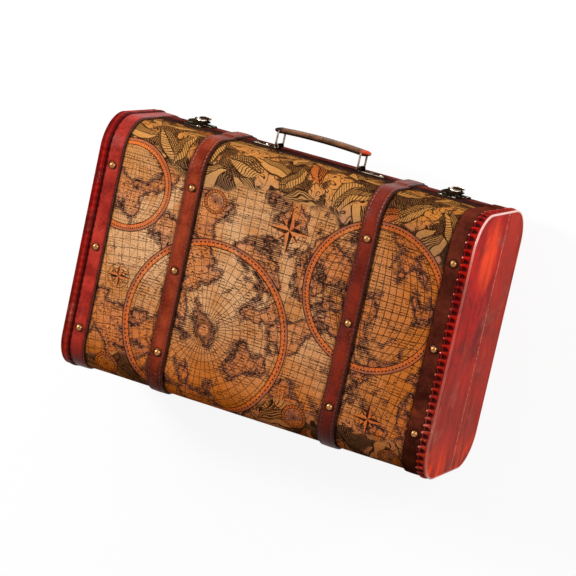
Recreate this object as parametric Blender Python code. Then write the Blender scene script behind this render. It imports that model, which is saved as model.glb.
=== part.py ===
"""Wooden travel case with a printed leather cover, straps, nailed bands, draw latches and a handle.

The case lies on its back: the shallow half is the base, the deep printed half is the lid.
X runs along the case, -Y is the latch and handle side, +Y the hinge side, +Z is up.
Lengths are metres. Heights on a wrapped layer are measured outward from the printed leather.
"""

import math
from collections import namedtuple

import bmesh
import bpy
from mathutils import Matrix, Vector

# Case body over the printed leather
CASE_LENGTH = 0.450
CASE_WIDTH = 0.288
CASE_DEPTH = 0.145
BASE_DEPTH = 0.0578
CORNER_RADIUS = 0.036
CORNER_STEPS = 8
SEAM_GAP = 0.0008
FIT_GAP = 0.0003
OVERRUN = 0.001
ROD_SIDES = 16
SMOOTH_ANGLE = math.radians(40)

# Wrapped layers, outside to inside
STRAP_THICKNESS = 0.0022
BAND_THICKNESS = 0.0019
RIM_THICKNESS = 0.0016
COVER_THICKNESS = 0.0012
SHELL_THICKNESS = 0.006
LINING_THICKNESS = 0.0008
EDGE_BEVEL = 0.0006

# End trim
END_COVER_THICKNESS = 0.0032
END_BOARD_THICKNESS = 0.008
BEAD_RADIUS = 0.0016
FIELD_DROP = 0.0005
WELT_WIDTH = 0.0062
WELT_VALLEY = 0.0008
WELT_RIDGE = 0.0020
PLEAT_PITCH = 0.008
BAND_WIDTH = 0.019

# Rim bands and straps
RIM_WIDTH = 0.018
STRAP_WIDTH = 0.0195
STRAP_FROM_BRACKET = 0.01475
STRAP_RAMP = 0.006
STRAP_RIM_CLEARANCE = 0.0006

# Dome nails on the lid's straps and bands
NAIL_RADIUS = 0.0043
NAIL_HEIGHT = 0.0027
NAIL_FROM_EDGE = 0.0507
NAIL_SHIFT = 0.0024
NAIL_SIDES = 10
DOME_SHARES = ((1.0, 0.0), (0.9, 0.45), (0.6, 0.82), (0.2, 1.0))

# Screws
SCREW_HEAD_RADIUS = 0.0021
SCREW_HEAD_HEIGHT = 0.0012
SCREW_SINK = 0.0005
SCREW_SIDES = 8
SCREW_HEAD_SHARES = ((1.0, 0.25), (0.62, 1.0))

# Handle
HANDLE_PIVOT_X = 0.050
HANDLE_FROM_SEAM = 0.009
WIRE_RADIUS = 0.00115
RING_WIDTH = 0.020
RING_HEIGHT = 0.0175
RING_CORNER = 0.0022
WIRE_CLEARANCE = 0.00035
GRIP_NOSE = 0.007
GRIP_END_WIDTH = 0.0162
GRIP_MID_WIDTH = 0.0198
GRIP_END_THICKNESS = 0.0066
GRIP_MID_THICKNESS = 0.0058
GRIP_ARCH = 0.004
GRIP_STEPS = 9
GRIP_CORNER_SHARE = 0.7
NOSE_ROUND_SHARE = 0.9
NOSE_WIDTH_SHARE = 0.4
BRACKET_THICKNESS = 0.0014
BRACKET_LENGTH = 0.031
BRACKET_WIDTH = 0.016
BRACKET_TIP_RADIUS = 0.0052
BRACKET_EYE_LENGTH = 0.0145
BRACKET_FIRST_SCREW = 0.0133
BRACKET_SCREW_SPACING = 0.0125

# Draw latches
LATCH_PLATE_WIDTH = 0.034
LATCH_PLATE_HEIGHT = 0.017
LATCH_PLATE_THICKNESS = 0.0012
LATCH_PLATE_CORNER = 0.004
LATCH_EDGE_FROM_SEAM = 0.0015
EAR_INNER = 0.0066
EAR_THICKNESS = 0.0012
EAR_RADIUS = 0.0026
PIN_RADIUS = 0.0009
PIN_FROM_SEAM = 0.007
PIN_HEIGHT = 0.0046
LEVER_HALF_WIDTH = 0.0062
LEVER_THICKNESS = 0.0015
LEVER_LENGTH = 0.0185
LEVER_FLARE = 0.0062
LEVER_SWELL = 0.0016
LEVER_DISH = 0.0016
LEVER_STEPS = 8
NECK_SHARE = 0.35
TIP_SHARE = 0.75
PIN_KNUCKLE_RADIUS = 0.0022
BAIL_ARM_FROM_PIN = 0.0055
BAIL_HEIGHT = 0.0042
BAIL_HALF_WIDTH = 0.009
BAIL_CORNER = 0.0018
BAIL_PEG_DEPTH = 0.0013
BAIL_BAR_FROM_SEAM = 0.008
KEEPER_HALF_WIDTH = 0.011
KEEPER_HEIGHT = 0.0162
KEEPER_THICKNESS = 0.001
KEEPER_CORNER = 0.003
HOOK_HALF_WIDTH = 0.0055
HOOK_THICKNESS = 0.001
HOOK_CLEARANCE = 0.00035
HOOK_LIP_RISE = 0.0006
LATCH_SCREW_X = 0.0132
LATCH_SCREW_FROM_SEAM = 0.011
KEEPER_SCREW_X = 0.0078
KEEPER_SCREW_FROM_TOP = 0.0027

# Butt hinges
HINGE_LENGTH = 0.036
LEAF_WIDTH = 0.015
LEAF_THICKNESS = 0.0012
BARREL_RADIUS = 0.0026
HINGE_PIN_RADIUS = 0.0012
HINGE_PIN_CLEARANCE = 0.0003
KNUCKLES = 5
HINGE_SCREW_SPACING = 0.024
HINGE_SCREW_FROM_AXIS = 0.0098

# Places that follow from the sizes above
STAND = FIT_GAP + STRAP_THICKNESS
SEAM_Z = STAND + BASE_DEPTH
RIM_TOP = FIT_GAP + RIM_THICKNESS
SEAT = RIM_TOP + FIT_GAP
HALF_LENGTH = CASE_LENGTH / 2
SHELL_END = HALF_LENGTH - END_COVER_THICKNESS - FIT_GAP
BAND_OUTER = SHELL_END - WELT_WIDTH - FIT_GAP
BAND_INNER = BAND_OUTER - BAND_WIDTH
# The straps frame the handle, and latches and hinges sit midway between a strap and the end band.
STRAP_X = HANDLE_PIVOT_X + BRACKET_LENGTH + STRAP_FROM_BRACKET + STRAP_WIDTH / 2
LATCH_X = (STRAP_X + STRAP_WIDTH / 2 + BAND_INNER) / 2
HINGE_X = LATCH_X
NAIL_SPACING = CASE_WIDTH / 2 - NAIL_FROM_EDGE
SHELL_OUTSIDE = -(COVER_THICKNESS + FIT_GAP)
SHELL_INSIDE = SHELL_OUTSIDE - SHELL_THICKNESS
LINING_OUTSIDE = SHELL_INSIDE - FIT_GAP
BOARD_OUTER = SHELL_END
BOARD_INNER = BOARD_OUTER - END_BOARD_THICKNESS
EYE_RADIUS = WIRE_RADIUS + WIRE_CLEARANCE + BRACKET_THICKNESS
HANDLE_Z = SEAM_Z + HANDLE_FROM_SEAM
HANDLE_REACH = SEAT + EYE_RADIUS + RING_HEIGHT + GRIP_ARCH + GRIP_MID_THICKNESS / 2
HINGE_REACH = SEAT + 2 * BARREL_RADIUS
# The case sits back of the origin so that the whole part, with its handle, is centred on it.
CASE_Y = (HANDLE_REACH - HINGE_REACH) / 2
FRONT_Y = CASE_Y - CASE_WIDTH / 2 - SEAT
BACK_Y = CASE_Y + CASE_WIDTH / 2 + SEAT
HINGE_AXIS = Vector((0, BACK_Y + BARREL_RADIUS, SEAM_Z))
LEVER_PIN_Z = SEAM_Z - PIN_FROM_SEAM
BAIL_PIN_Z = LEVER_PIN_Z - BAIL_ARM_FROM_PIN

Half = namedtuple("Half", "name up depth")
BASE = Half("base", -1, BASE_DEPTH)
LID = Half("lid", 1, CASE_DEPTH - BASE_DEPTH)
SIDES = (("left", -1), ("right", 1))


# Materials

def material(name, colour, roughness, metallic=0.0):
    """A Principled material of one colour."""
    made = bpy.data.materials.get(name)
    if made is None:
        made = bpy.data.materials.new(name)
        made.use_nodes = True
        shader = made.node_tree.nodes["Principled BSDF"]
        shader.inputs["Base Color"].default_value = (*colour, 1.0)
        shader.inputs["Roughness"].default_value = roughness
        shader.inputs["Metallic"].default_value = metallic
    return made


def printed_leather():
    return material("printed_leather", (0.48, 0.26, 0.09), 0.50)


def strap_leather():
    return material("strap_leather", (0.20, 0.035, 0.018), 0.38)


def band_leather():
    return material("band_leather", (0.24, 0.030, 0.020), 0.40)


def rim_leather():
    return material("rim_leather", (0.12, 0.020, 0.016), 0.45)


def end_leather():
    return material("end_leather", (0.42, 0.035, 0.018), 0.35)


def grip_leather():
    return material("grip_leather", (0.10, 0.030, 0.018), 0.40)


def case_wood():
    return material("case_wood", (0.50, 0.33, 0.18), 0.70)


def lining_cloth():
    return material("lining_cloth", (0.28, 0.20, 0.13), 0.95)


def antique_brass():
    return material("antique_brass", (0.20, 0.15, 0.08), 0.35, 1.0)


# Solids from points

def add_mesh(name, points, faces, finish):
    """A closed mesh object with its faces turned outward."""
    mesh = bpy.data.meshes.new(name)
    mesh.from_pydata([tuple(point) for point in points], [], faces)
    shell = bmesh.new()
    shell.from_mesh(mesh)
    bmesh.ops.recalc_face_normals(shell, faces=shell.faces)
    shell.to_mesh(mesh)
    shell.free()
    mesh.materials.append(finish)
    mesh.shade_smooth()
    mesh.set_sharp_from_angle(angle=SMOOTH_ANGLE)
    placed = bpy.data.objects.new(name, mesh)
    bpy.context.scene.collection.objects.link(placed)
    return placed


def loft_data(rings):
    """Points and faces of a solid through rings of equal count, capped at both ends."""
    count = len(rings[0])
    points = [point for ring in rings for point in ring]
    faces = []
    for row in range(len(rings) - 1):
        start = row * count
        for here in range(count):
            there = (here + 1) % count
            faces.append((start + here, start + there, start + count + there, start + count + here))
    faces.append(tuple(range(count - 1, -1, -1)))
    faces.append(tuple(range(len(points) - count, len(points))))
    return points, faces


def loft(name, rings, finish):
    """A solid skinned through rings of points."""
    points, faces = loft_data(rings)
    return add_mesh(name, points, faces, finish)


def extruded(name, outline, start, length, to_world, finish):
    """An outline of (a, b) pairs extruded along c, each point placed by to_world(a, b, c)."""
    plate = bmesh.new()
    corners = [plate.verts.new(to_world(a, b, start)) for a, b in outline]
    face = plate.faces.new(corners)
    pushed = bmesh.ops.extrude_face_region(plate, geom=[face])
    travel = Vector(to_world(0, 0, start + length)) - Vector(to_world(0, 0, start))
    moved = [item for item in pushed["geom"] if isinstance(item, bmesh.types.BMVert)]
    bmesh.ops.translate(plate, verts=moved, vec=travel)
    bmesh.ops.recalc_face_normals(plate, faces=plate.faces)
    mesh = bpy.data.meshes.new(name)
    plate.to_mesh(mesh)
    plate.free()
    mesh.materials.append(finish)
    mesh.shade_smooth()
    mesh.set_sharp_from_angle(angle=SMOOTH_ANGLE)
    placed = bpy.data.objects.new(name, mesh)
    bpy.context.scene.collection.objects.link(placed)
    return placed


def rod(name, start, end, radius, finish, sides=ROD_SIDES):
    """A round bar between two points, with a flat side facing each main axis."""
    start, end = Vector(start), Vector(end)
    axis = (end - start).normalized()
    side = axis.orthogonal().normalized()
    across = axis.cross(side)
    reach = radius / math.cos(math.pi / sides)
    turns = [2 * math.pi * (k + 0.5) / sides for k in range(sides)]
    spokes = [reach * (math.cos(turn) * side + math.sin(turn) * across) for turn in turns]
    return loft(name, [[end_point + spoke for spoke in spokes] for end_point in (start, end)], finish)


def wire(name, points, radius, closed, finish, origin):
    """A bent wire: a polyline curve with a round bevel, filled at its ends."""
    curve = bpy.data.curves.new(name, "CURVE")
    curve.dimensions = "3D"
    curve.bevel_depth = radius
    curve.bevel_resolution = 2
    curve.use_fill_caps = not closed
    curve.materials.append(finish)
    spline = curve.splines.new("POLY")
    spline.points.add(len(points) - 1)
    for knot, point in zip(spline.points, points):
        knot.co = (*(Vector(point) - Vector(origin)), 1.0)
    spline.use_cyclic_u = closed
    placed = bpy.data.objects.new(name, curve)
    placed.location = origin
    bpy.context.scene.collection.objects.link(placed)
    return placed


def rounded(corners, radius, steps, closed):
    """A polyline of (a, b) pairs with its corners turned into arcs of one radius."""
    result = []
    count = len(corners)
    for index, corner in enumerate(corners):
        corner = Vector(corner)
        if not closed and index in (0, count - 1):
            result.append(corner)
            continue
        before = (Vector(corners[index - 1]) - corner).normalized()
        after = (Vector(corners[(index + 1) % count]) - corner).normalized()
        half_angle = before.angle(after) / 2
        centre = corner + (before + after).normalized() * radius / math.sin(half_angle)
        first = corner + before * radius / math.tan(half_angle) - centre
        last = corner + after * radius / math.tan(half_angle) - centre
        sweep = first.angle_signed(last)
        for step in range(steps + 1):
            result.append(centre + Matrix.Rotation(-sweep * step / steps, 2) @ first)
    return [tuple(point) for point in result]


def rounded_plate(width, low, high, radius, steps=3):
    """Outline of a plate centred on zero across, between two heights, with round corners."""
    half = width / 2
    return rounded([(-half, low), (half, low), (half, high), (-half, high)], radius, steps, True)


def turned_rings(centre, axis, profile, sides):
    """Rings of a turned solid: profile is (radius, height) pairs along the axis from the centre."""
    axis = Vector(axis)
    side = axis.orthogonal().normalized()
    across = axis.cross(side)
    turns = [2 * math.pi * (k + 0.5) / sides for k in range(sides)]
    spokes = [math.cos(turn) * side + math.sin(turn) * across for turn in turns]
    centre = Vector(centre)
    return [[centre + axis * height + radius * spoke for spoke in spokes] for radius, height in profile]


def shaped(target, tool, operation):
    """Joins a hidden tool solid to the target, or cuts it away."""
    change = target.modifiers.new(tool.name, "BOOLEAN")
    change.operation = operation
    change.object = tool
    tool.hide_render = True
    tool.display_type = "WIRE"


def set_origin(placed, point):
    """Moves an object's origin to a point and leaves its shape where it is."""
    placed.data.transform(Matrix.Translation(-Vector(point)))
    placed.location = point


def empty(name, point, parent=None):
    """A pivot that pieces hang on."""
    pivot = bpy.data.objects.new(name, None)
    pivot.empty_display_size = CORNER_RADIUS
    bpy.context.scene.collection.objects.link(pivot)
    pivot.location = point
    if parent is not None:
        hang(pivot, parent)
    return pivot


def hang(placed, parent):
    """Parents an object and keeps it where it is; no pivot here is turned or scaled."""
    placed.parent = parent
    placed.matrix_parent_inverse = Matrix.Translation(-Vector(parent.location))


# The section of a half

def wall_height(half):
    """Height of the straight wall between the seam and the rounded edge."""
    return half.depth - SEAM_GAP / 2 - CORNER_RADIUS


def girth(half):
    """Distance round a half's leather, from seam to seam."""
    return 2 * wall_height(half) + math.pi * CORNER_RADIUS + CASE_WIDTH - 2 * CORNER_RADIUS


def section_point(half, distance):
    """Point (y, z) and outward direction on a half's leather, a distance round from the latch seam."""
    total = girth(half)
    if distance > total / 2:
        y, z, out_y, out_z = section_point(half, total - distance)
        return 2 * CASE_Y - y, z, -out_y, out_z
    wall = wall_height(half)
    flat_start = CASE_Y - CASE_WIDTH / 2 + CORNER_RADIUS
    seam = SEAM_Z + half.up * SEAM_GAP / 2
    if distance <= wall:
        return flat_start - CORNER_RADIUS, seam + half.up * distance, -1.0, 0.0
    arc = math.pi * CORNER_RADIUS / 2
    if distance < wall + arc:
        angle = (distance - wall) / CORNER_RADIUS
        out_y, out_z = -math.cos(angle), half.up * math.sin(angle)
        centre_z = seam + half.up * wall
        return flat_start + CORNER_RADIUS * out_y, centre_z + CORNER_RADIUS * out_z, out_y, out_z
    return flat_start + distance - wall - arc, seam + half.up * (wall + CORNER_RADIUS), 0.0, float(half.up)


def edge_stops(half):
    """Distances round the half at the seams and at each step of its two rounded edges."""
    wall = wall_height(half)
    arc = math.pi * CORNER_RADIUS / 2
    first = [0.0] + [wall + arc * step / CORNER_STEPS for step in range(CORNER_STEPS + 1)]
    return first + [girth(half) - stop for stop in reversed(first)]


def wrapped(name, half, stops, section, finish):
    """A layer that follows a half's outline; section(stop) gives (x, height) pairs."""
    rings = []
    for stop in stops:
        y, z, out_y, out_z = section_point(half, stop)
        rings.append([(x, y + height * out_y, z + height * out_z) for x, height in section(stop)])
    return loft(name, rings, finish)


def closed_section(half, x, height):
    """Loop of points round a half's section at one x, closed across the seam."""
    loop = []
    for stop in edge_stops(half):
        y, z, out_y, out_z = section_point(half, stop)
        loop.append((x, y + height * out_y, z + height * out_z))
    return loop


def strip_section(x_low, x_high, inner, outer):
    """Section of a leather strip with its outer edges taken off."""
    shoulder = outer - EDGE_BEVEL
    return [(x_low, inner), (x_high, inner), (x_high, shoulder), (x_high - EDGE_BEVEL, outer),
            (x_low + EDGE_BEVEL, outer), (x_low, shoulder)]


# Wood, cover and lining

def wood_shell(half):
    """Bent wooden wall that closes three sides of a half."""
    section = [(-SHELL_END, SHELL_INSIDE), (SHELL_END, SHELL_INSIDE),
               (SHELL_END, SHELL_OUTSIDE), (-SHELL_END, SHELL_OUTSIDE)]
    return wrapped(f"{half.name}_shell", half, edge_stops(half), lambda stop: section, case_wood())


def end_board(half, side, sign):
    """Wooden board let into the end of the bent wall."""
    rings = [closed_section(half, sign * x, LINING_OUTSIDE) for x in (BOARD_INNER, BOARD_OUTER)]
    return loft(f"{half.name}_end_board_{side}", rings, case_wood())


def printed_cover(half):
    """Printed leather glued round the bent wall."""
    section = [(-SHELL_END, -COVER_THICKNESS), (SHELL_END, -COVER_THICKNESS),
               (SHELL_END, 0), (-SHELL_END, 0)]
    return wrapped(f"{half.name}_printed_cover", half, edge_stops(half), lambda stop: section,
                   printed_leather())


def lining(half):
    """Cloth skin over the inside of the wall and the end boards."""
    outer_x = BOARD_INNER - FIT_GAP
    inner_x = outer_x - LINING_THICKNESS
    inside = LINING_OUTSIDE - LINING_THICKNESS
    loops = [closed_section(half, -outer_x, LINING_OUTSIDE), closed_section(half, outer_x, LINING_OUTSIDE),
             closed_section(half, inner_x, inside), closed_section(half, -inner_x, inside)]
    count = len(loops[0])
    points = [point for loop in loops for point in loop]
    faces = []
    for low, high in ((0, 1), (2, 3)):
        for here in range(count - 1):
            faces.append((low * count + here, low * count + here + 1,
                          high * count + here + 1, high * count + here))
    for loop in range(4):
        faces.append(tuple(loop * count + here for here in range(count)))
    for low, high in ((0, 3), (1, 2)):
        faces.append((low * count, high * count, high * count + count - 1, low * count + count - 1))
    for end in (0, count - 1):
        faces.append((end, count + end, 2 * count + end, 3 * count + end))
    return add_mesh(f"{half.name}_lining", points, faces, lining_cloth())


# Leather trim

def rim_band(half, side, sign):
    """Leather strip along the seam, on the latch side (front) or the hinge side (back)."""
    reach = BAND_INNER - FIT_GAP
    first, last = (0.0, RIM_WIDTH) if sign < 0 else (girth(half) - RIM_WIDTH, girth(half))
    edge = last if sign < 0 else first
    bevel_stop = edge - EDGE_BEVEL if sign < 0 else edge + EDGE_BEVEL
    stops = sorted((first, last, bevel_stop))

    def section(stop):
        top = RIM_TOP - EDGE_BEVEL if stop == edge else RIM_TOP
        return [(-reach, FIT_GAP), (reach, FIT_GAP), (reach, top), (-reach, top)]

    return wrapped(f"{half.name}_rim_band_{side}", half, stops, section, rim_leather())


def end_band(half, side, sign):
    """Nailed leather band round the end of a half."""
    section = strip_section(BAND_INNER, BAND_OUTER, FIT_GAP, FIT_GAP + BAND_THICKNESS)
    section = [(sign * x, height) for x, height in section]
    return wrapped(f"{half.name}_band_{side}", half, edge_stops(half), lambda stop: section, band_leather())


def strap_lift(half, stop):
    """Height of a strap's underside, which steps over the rim band near each seam."""
    from_seam = min(stop, girth(half) - stop)
    ramp_start = RIM_WIDTH + STRAP_RIM_CLEARANCE
    share = min(1.0, max(0.0, (from_seam - ramp_start) / STRAP_RAMP))
    return FIT_GAP + (SEAT - FIT_GAP) * (1.0 - share)


def strap(half, side, sign):
    """Stitched leather strap round a half."""
    ramp = (RIM_WIDTH + STRAP_RIM_CLEARANCE, RIM_WIDTH + STRAP_RIM_CLEARANCE + STRAP_RAMP)
    stops = sorted(set(edge_stops(half)) | set(ramp) | {girth(half) - stop for stop in ramp})
    low, high = STRAP_X - STRAP_WIDTH / 2, STRAP_X + STRAP_WIDTH / 2

    def section(stop):
        under = strap_lift(half, stop)
        strip = strip_section(low, high, under, under + STRAP_THICKNESS)
        return [(sign * x, height) for x, height in strip]

    return wrapped(f"{half.name}_strap_{side}", half, stops, section, strap_leather())


def pleated_welt(half, side, sign):
    """The end cover's gathered edge beside the band; its pleats rise and fall at an even pitch."""
    inner, outer = BAND_OUTER + FIT_GAP, HALF_LENGTH - END_COVER_THICKNESS / 2
    pleats = round(girth(half) / PLEAT_PITCH)
    stops = [girth(half) * step / (2 * pleats) for step in range(2 * pleats + 1)]

    def section(stop):
        ridge = round(stop / girth(half) * 2 * pleats) % 2 == 1
        top = FIT_GAP + (WELT_RIDGE if ridge else WELT_VALLEY)
        return [(sign * inner, FIT_GAP), (sign * outer, FIT_GAP), (sign * outer, top), (sign * inner, top)]

    return wrapped(f"{half.name}_welt_{side}", half, stops, section, end_leather())


def end_cover(half, side, sign):
    """Leather over the end board, with a rolled bead round it and a pleated edge."""
    diagonal = BEAD_RADIUS * (1 - math.cos(math.pi / 4))
    steps = [(HALF_LENGTH - END_COVER_THICKNESS, STAND), (HALF_LENGTH - BEAD_RADIUS, STAND),
             (HALF_LENGTH - diagonal, STAND - diagonal), (HALF_LENGTH, STAND - BEAD_RADIUS),
             (HALF_LENGTH - FIELD_DROP, STAND - 3 * BEAD_RADIUS)]
    rings = [closed_section(half, sign * x, height) for x, height in steps]
    cover = loft(f"{half.name}_end_cover_{side}", rings, end_leather())
    shaped(cover, pleated_welt(half, side, sign), "UNION")
    return cover


def dome_nails(side, sign):
    """Three domed nails on a strap and three on an end band of the lid's face."""
    profile = [(NAIL_RADIUS * wide, NAIL_HEIGHT * high) for wide, high in DOME_SHARES]
    columns = (("strap", STRAP_X, FIT_GAP + STRAP_THICKNESS),
               ("band", BAND_OUTER - BAND_WIDTH / 2, FIT_GAP + BAND_THICKNESS))
    nails = []
    for strip, x, strip_top in columns:
        for row in (-1, 0, 1):
            y = CASE_Y + NAIL_SHIFT + row * NAIL_SPACING
            centre = (sign * x, y, STAND + CASE_DEPTH + strip_top + FIT_GAP)
            rings = turned_rings(centre, (0, 0, 1), profile, NAIL_SIDES)
            nails.append(loft(f"{strip}_nail_{side}_{row + 2}", rings, antique_brass()))
    return nails


# Screws

def add_screw_heads(plate, centres, axis):
    """Domed screw heads drawn tight on a plate."""
    profile = [(SCREW_HEAD_RADIUS, -SCREW_SINK)]
    profile += [(SCREW_HEAD_RADIUS * wide, SCREW_HEAD_HEIGHT * high) for wide, high in SCREW_HEAD_SHARES]
    for index, centre in enumerate(centres):
        rings = turned_rings(centre, axis, profile, SCREW_SIDES)
        shaped(plate, loft(f"{plate.name}_screw_{index}", rings, antique_brass()), "UNION")


# Handle

def front_point(across, height, z):
    """Place on the latch side: across along X, height out from the rim bands' face, z up."""
    return across, FRONT_Y - height, z


def bracket_outline(sign):
    """Bracket from its eye outward, tapering to a round tip."""
    half = BRACKET_WIDTH / 2
    tip_x = BRACKET_LENGTH - BRACKET_TIP_RADIUS
    tip = [(tip_x + BRACKET_TIP_RADIUS * math.sin(angle), BRACKET_TIP_RADIUS * math.cos(angle))
           for angle in (math.pi * step / 6 for step in range(1, 6))]
    outline = [(0.0, BRACKET_EYE_LENGTH / 2), (EYE_RADIUS + OVERRUN, half), (BRACKET_LENGTH / 2, half)]
    mirrored = [(x, -z) for x, z in reversed(outline)]
    return [(sign * (HANDLE_PIVOT_X + x), HANDLE_Z + z) for x, z in outline + tip + mirrored]


def bracket_screws(sign):
    """Places of a bracket's two screws on its top face."""
    places = (BRACKET_FIRST_SCREW, BRACKET_FIRST_SCREW + BRACKET_SCREW_SPACING)
    return [front_point(sign * (HANDLE_PIVOT_X + x), BRACKET_THICKNESS, HANDLE_Z) for x in places]


def handle_bracket(side, sign):
    """Metal plate rolled into an eye for the ring's lower bar."""
    bracket = extruded(f"handle_bracket_{side}", bracket_outline(sign), 0, BRACKET_THICKNESS,
                       lambda x, z, height: front_point(x, height, z), antique_brass())
    ends = [front_point(sign * HANDLE_PIVOT_X, EYE_RADIUS, HANDLE_Z + end * BRACKET_EYE_LENGTH / 2)
            for end in (-1, 1)]
    shaped(bracket, rod(f"eye_{side}", *ends, EYE_RADIUS, antique_brass()), "UNION")
    past = [front_point(sign * HANDLE_PIVOT_X, EYE_RADIUS, HANDLE_Z + end * (BRACKET_WIDTH / 2 + OVERRUN))
            for end in (-1, 1)]
    bore = rod(f"eye_bore_{side}", *past, WIRE_RADIUS + WIRE_CLEARANCE, antique_brass())
    shaped(bracket, bore, "DIFFERENCE")
    add_screw_heads(bracket, bracket_screws(sign), (0, -1, 0))
    return bracket


def handle_ring(side, sign):
    """Closed rectangular wire ring that turns in the bracket's eye."""
    half = RING_WIDTH / 2
    low, high = EYE_RADIUS, EYE_RADIUS + RING_HEIGHT
    loop = rounded([(-half, low), (half, low), (half, high), (-half, high)], RING_CORNER, 3, True)
    points = [front_point(sign * HANDLE_PIVOT_X, height, HANDLE_Z + z) for z, height in loop]
    return wire(f"handle_ring_{side}", points, WIRE_RADIUS, True, antique_brass(),
                front_point(sign * HANDLE_PIVOT_X, EYE_RADIUS, HANDLE_Z))


def grip_section(x, height, width, thickness):
    """Soft-cornered loop of the grip at one x."""
    half_w, half_t = width / 2, thickness / 2
    corner = half_t * GRIP_CORNER_SHARE
    corners = [(-half_w, -half_t), (half_w, -half_t), (half_w, half_t), (-half_w, half_t)]
    loop = rounded(corners, corner, 2, True)
    return [front_point(x, height + t, HANDLE_Z + w) for w, t in loop]


def grip():
    """Arched leather grip, slimmer at its eyes and rounded off past them."""
    seat = EYE_RADIUS + RING_HEIGHT
    reach = HANDLE_PIVOT_X + GRIP_NOSE
    rings = []
    for step in range(-GRIP_STEPS, GRIP_STEPS + 1):
        share = step / GRIP_STEPS
        x = reach * math.sin(share * math.pi / 2)
        along = min(1.0, abs(x) / HANDLE_PIVOT_X)
        swell = 1.0 - along ** 2
        nose = max(0.0, (abs(x) - HANDLE_PIVOT_X) / GRIP_NOSE)
        round_off = math.sqrt(1.0 - (NOSE_ROUND_SHARE * nose) ** 2)
        width = GRIP_END_WIDTH + (GRIP_MID_WIDTH - GRIP_END_WIDTH) * swell
        width *= NOSE_WIDTH_SHARE + (1.0 - NOSE_WIDTH_SHARE) * round_off
        thickness = GRIP_END_THICKNESS + (GRIP_MID_THICKNESS - GRIP_END_THICKNESS) * swell
        thickness *= round_off
        rings.append(grip_section(x, seat + GRIP_ARCH * swell, width, thickness))
    handle = loft("handle_grip", rings, grip_leather())
    for side, sign in SIDES:
        ends = [front_point(sign * HANDLE_PIVOT_X, seat, HANDLE_Z + end * (GRIP_MID_WIDTH / 2 + OVERRUN))
                for end in (-1, 1)]
        bore = rod(f"grip_bore_{side}", *ends, WIRE_RADIUS + WIRE_CLEARANCE, grip_leather())
        shaped(handle, bore, "DIFFERENCE")
    set_origin(handle, front_point(-HANDLE_PIVOT_X, seat, HANDLE_Z))
    return handle


# Draw latches

def latch_plate(side, sign):
    """Base plate of a latch with two ears for the lever's pin."""
    centre = sign * LATCH_X
    high = SEAM_Z - LATCH_EDGE_FROM_SEAM
    outline = rounded_plate(LATCH_PLATE_WIDTH, high - LATCH_PLATE_HEIGHT, high, LATCH_PLATE_CORNER)
    plate = extruded(f"latch_plate_{side}", outline, 0, LATCH_PLATE_THICKNESS,
                     lambda x, z, height: front_point(centre + x, height, z), antique_brass())
    for index, hand in enumerate((-1, 1)):
        start = hand * EAR_INNER if hand > 0 else -EAR_INNER - EAR_THICKNESS
        ear = extruded(f"latch_ear_{side}_{index}", ear_outline(), start, EAR_THICKNESS,
                       lambda z, height, x: front_point(centre + x, height, z), antique_brass())
        shaped(plate, ear, "UNION")
    reach = EAR_INNER + EAR_THICKNESS + OVERRUN
    ends = [front_point(centre + end * reach, PIN_HEIGHT, LEVER_PIN_Z) for end in (-1, 1)]
    bore = rod(f"latch_pin_bore_{side}", *ends, PIN_RADIUS + FIT_GAP, antique_brass(), SCREW_SIDES)
    shaped(plate, bore, "DIFFERENCE")
    add_screw_heads(plate, latch_screws(sign), (0, -1, 0))
    return plate


def ear_outline():
    """Side view of an ear, from inside the plate up to its round end about the pin."""
    foot = LATCH_PLATE_THICKNESS / 2
    arc = [(LEVER_PIN_Z + EAR_RADIUS * math.cos(angle), PIN_HEIGHT + EAR_RADIUS * math.sin(angle))
           for angle in (math.pi * step / 6 for step in range(7))]
    return [(LEVER_PIN_Z + EAR_RADIUS, foot)] + arc + [(LEVER_PIN_Z - EAR_RADIUS, foot)]


def latch_screws(sign):
    """Places of a latch plate's two screws on its top face."""
    return [front_point(sign * LATCH_X + hand * LATCH_SCREW_X, LATCH_PLATE_THICKNESS,
                        SEAM_Z - LATCH_SCREW_FROM_SEAM) for hand in (-1, 1)]


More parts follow.
